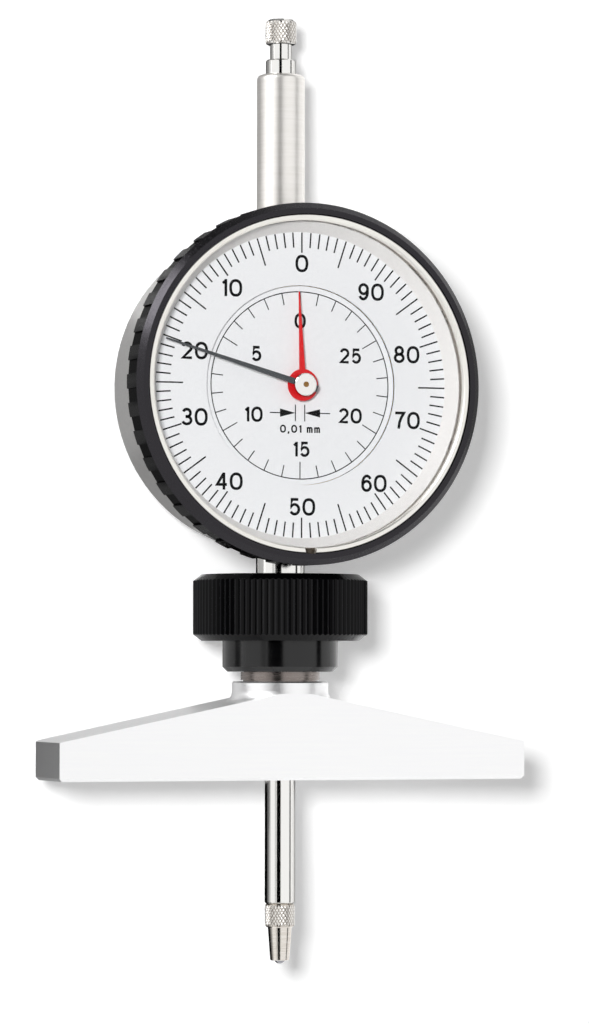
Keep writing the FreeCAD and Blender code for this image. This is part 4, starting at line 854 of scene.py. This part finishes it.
class GAUGE_OT_stage(Operator):
    """White paper floor, soft light, dark flags for the mirror bands, and the camera"""
    bl_idname = "gauge.stage"
    bl_label = "Studio"

    def execute(self, context):
        settings = context.scene.gauge_studio
        self.floor(settings)
        self.flags()
        self.lamp(context, settings)
        self.sky(context, settings)
        self.camera(context, settings)
        context.scene.view_settings.view_transform = "Standard"
        return {"FINISHED"}

    def floor(self, settings):
        """Paper that fades to pure white away from the gauge, and is clear from below."""
        reach = 3.0
        corners = [(x, y, paper_level(y)) for x, y in
                   ((-reach, -reach), (reach, -reach), (reach, reach), (-reach, reach))]
        mesh = bpy.data.meshes.new("paper_floor")
        mesh.from_pydata(corners, [], [(0, 1, 2, 3)])
        made = bpy.data.objects.new("paper_floor", mesh)
        bpy.context.scene.collection.objects.link(made)
        material, shader, place = surface("matt_white_paper", 0xF2F2F2, 0.0, 0.9)
        shader.inputs["Base Color"].default_value = (*settings.paper, 1.0)
        shader.inputs["Specular IOR Level"].default_value = 0.0
        seen = seen_rays(material)
        lift = add_node(material, "ShaderNodeMath", {0: seen, 1: settings.paper_lift}, operation="MULTIPLY")
        glow = add_node(material, "ShaderNodeEmission", {"Color": (1, 1, 1, 1), "Strength": lift.outputs[0]})
        both = add_node(material, "ShaderNodeAddShader", {0: shader.outputs["BSDF"], 1: glow.outputs["Emission"]})
        away = axis_distance(material, place, (0, 60 * MM, 0), (1, 1, 0))
        edge = add_node(material, "ShaderNodeMapRange", {"Value": away, "From Min": 0.13, "From Max": 0.3,
                                                         "To Max": seen})
        white = add_node(material, "ShaderNodeEmission", {"Color": (1, 1, 1, 1), "Strength": 1.0})
        wide = add_node(material, "ShaderNodeMixShader", {0: edge.outputs["Result"], 1: both.outputs[0],
                                                          2: white.outputs["Emission"]})
        side = add_node(material, "ShaderNodeNewGeometry")
        gone = add_node(material, "ShaderNodeBsdfTransparent")
        paper = add_node(material, "ShaderNodeMixShader", {0: side.outputs["Backfacing"], 1: wide.outputs[0],
                                                           2: gone.outputs[0]})
        tree = material.node_tree
        tree.links.new(paper.outputs[0], tree.nodes["Material Output"].inputs["Surface"])
        made.data.materials.append(material)

    def flags(self):
        """Cards that only mirrors see: dark ones about the lens and at the right, a window, and a row on the paper."""
        black = studio_card("black_flag_cloth", 0.0)
        dark = studio_card("dark_flag_card", 0.13)
        grey = studio_card("grey_flag_card", 0.34)
        mid = studio_card("mid_flag_card", 0.46)
        pale = studio_card("pale_flag_card", 0.62)
        # name, bearing in degrees, width, foot and top in metres, card; all at a metre from the gauge
        upright = (("flag_camera", -28.5, 0.53, -1.4, 0.1, black), ("flag_camera_high", -22, 0.36, 0.1, 1.4, black),
                   ("flag_camera_side", -52, 0.18, -1.4, 0.1, pale), ("flag_right", 64, 0.2, -1.4, 1.4, black))
        for name, bearing, width, foot, top, material in upright:
            turn = math.radians(bearing)
            across = Vector((math.cos(turn), 0, -math.sin(turn))) * width / 2
            low, high = (Vector((math.sin(turn), height, math.cos(turn))) for height in (foot, top))
            self.card(name, (low - across, low + across, high + across, high - across), material)
        self.card("flag_above", [Vector(corner) for corner in ((-0.5, 0.8, -0.1), (0.5, 0.8, -0.1), (0.5, 0.8, 0.5),
                                                               (-0.5, 0.8, 0.5))], black)
        way = Vector((-0.75, 0.61, 0.26)).normalized()
        across = Vector((0, 1, 0)).cross(way).normalized() * 0.23
        tall = way.cross(across)
        middle = way + Vector((0, 0.06, 0))
        self.card("window", (middle - across - tall, middle + across - tall, middle + across + tall,
                             middle - across + tall), studio_card("window_card", 8.0))
        # name, left, right, foot and top in millimetres, card; all just over the paper
        paper = (("flag_plunger", -22, 2, -60, -1, black), ("flag_plunger_dark", -37.5, -22, -60, -1, dark),
                 ("flag_plunger_grey", -64, -37.5, -60, -1, grey), ("flag_plunger_pale", -300, -64, -60, -1, pale),
                 ("flag_stem", -10, 2, 33, 38, black), ("flag_tube", -17.5, 7, 92, 300, grey),
                 ("flag_tube_pale", -38, -17.5, 92, 300, pale), ("flag_end", -80, -39, -10, 24, dark),
                 ("flag_slope", -39, -11, 1, 24, pale), ("flag_slope_top", -11, -1, 1, 24, grey),
                 ("flag_case_low", -60, -12, 26, 51, mid), ("flag_case", -60, -18, 51, 78, pale),
                 ("flag_chamfer", 55, 260, 36, 96, grey))
        for name, left, right, foot, top, material in paper:
            self.card(name, [Vector((x * MM, y * MM, paper_level(y * MM) + 0.3 * MM)) for x, y in
                             ((left, foot), (right, foot), (right, top), (left, top))], material)

    def card(self, name, corners, material):
        """A flat card that neither the camera nor the light on the gauge meets."""
        mesh = bpy.data.meshes.new(name)
        mesh.from_pydata([tuple(corner) for corner in corners], [], [tuple(range(len(corners)))])
        made = bpy.data.objects.new(name, mesh)
        bpy.context.scene.collection.objects.link(made)
        made.data.materials.append(material)
        made.visible_camera = False
        made.visible_diffuse = False
        made.visible_shadow = False

    def lamp(self, context, settings):
        """A soft box at the upper left, which throws the shadow to the lower right."""
        light = bpy.data.lights.new("key_softbox", "AREA")
        light.shape = "SQUARE"
        light.size = settings.key_size
        light.energy = settings.key_power
        made = bpy.data.objects.new("key_softbox", light)
        made.visible_glossy = False
        context.scene.collection.objects.link(made)
        aim = Vector((-0.49, 0.085, 1.0)).normalized()
        made.location = Vector((0, 0.05, 0)) + aim * 0.8
        made.rotation_euler = aim.to_track_quat("Z", "Y").to_euler()

    def sky(self, context, settings):
        """Even light from all round, white where it is seen or mirrored."""
        world = bpy.data.worlds.new("white_room")
        world.use_nodes = True
        context.scene.world = world
        shader = world.node_tree.nodes["Background"]
        shader.inputs["Color"].default_value = (1, 1, 1, 1)
        level = add_node(world, "ShaderNodeMapRange", {"Value": seen_rays(world), "To Min": settings.sky,
                                                       "To Max": 1.0})
        world.node_tree.links.new(level.outputs["Result"], shader.inputs["Strength"])

    def camera(self, context, settings):
        """A long lens, to the left of the dial and a little below it."""
        data = bpy.data.cameras.new("camera")
        data.lens = settings.focal_length
        data.sensor_width = 36.0
        data.clip_start, data.clip_end = 0.01, 20.0
        made = bpy.data.objects.new("camera", data)
        context.scene.collection.objects.link(made)
        made.location = (-242.67 * MM, 18.59 * MM, 700 * MM)
        yaw, pitch, roll = math.radians(19.3), math.radians(1.957), math.radians(0.07)
        made.rotation_mode = "QUATERNION"
        ahead = Vector((math.sin(yaw) * math.cos(pitch), math.sin(pitch), -math.cos(yaw) * math.cos(pitch)))
        right = Vector((math.cos(yaw), 0, math.sin(yaw)))
        up = right.cross(ahead)
        basis = Matrix((right, up, -ahead)).transposed()
        made.rotation_quaternion = (basis @ Matrix.Rotation(roll, 3, "Z")).to_quaternion()
        context.scene.camera = made


class GAUGE_PT_panel(Panel):
    """Builds the gauge's pieces and holds their settings"""
    bl_idname = "GAUGE_PT_panel"
    bl_label = "Depth Gauge"
    bl_space_type = "VIEW_3D"
    bl_region_type = "UI"
    bl_category = "Depth Gauge"

    def draw(self, context):
        layout = self.layout
        for operator in OPERATORS:
            layout.operator(operator.bl_idname)
        for settings in (context.scene.gauge_print, context.scene.gauge_knurl, context.scene.gauge_studio):
            box = layout.box()
            for name in settings.bl_rna.properties.keys():
                if name not in ("rna_type", "name"):
                    box.prop(settings, name)


SETTINGS = {"gauge_print": DialPrintSettings, "gauge_knurl": KnurlSettings, "gauge_studio": StudioSettings}
OPERATORS = (GAUGE_OT_base, GAUGE_OT_case, GAUGE_OT_movement, GAUGE_OT_bezel, GAUGE_OT_dials, GAUGE_OT_hands,
             GAUGE_OT_plunger, GAUGE_OT_stage)


def register():
    for made in (*SETTINGS.values(), *OPERATORS, GAUGE_PT_panel):
        bpy.utils.register_class(made)
    for name, made in SETTINGS.items():
        setattr(bpy.types.Scene, name, PointerProperty(type=made))


def unregister():
    for name in SETTINGS:
        delattr(bpy.types.Scene, name)
    for made in (GAUGE_PT_panel, *reversed(OPERATORS), *SETTINGS.values()):
        bpy.utils.unregister_class(made)


def main():
    """Builds every piece in order."""
    register()
    bpy.ops.gauge.base()
    bpy.ops.gauge.case()
    bpy.ops.gauge.movement()
    bpy.ops.gauge.bezel()
    bpy.ops.gauge.dials()
    bpy.ops.gauge.hands()
    bpy.ops.gauge.plunger()
    bpy.ops.gauge.stage()


if __name__ == "__main__":
    main()
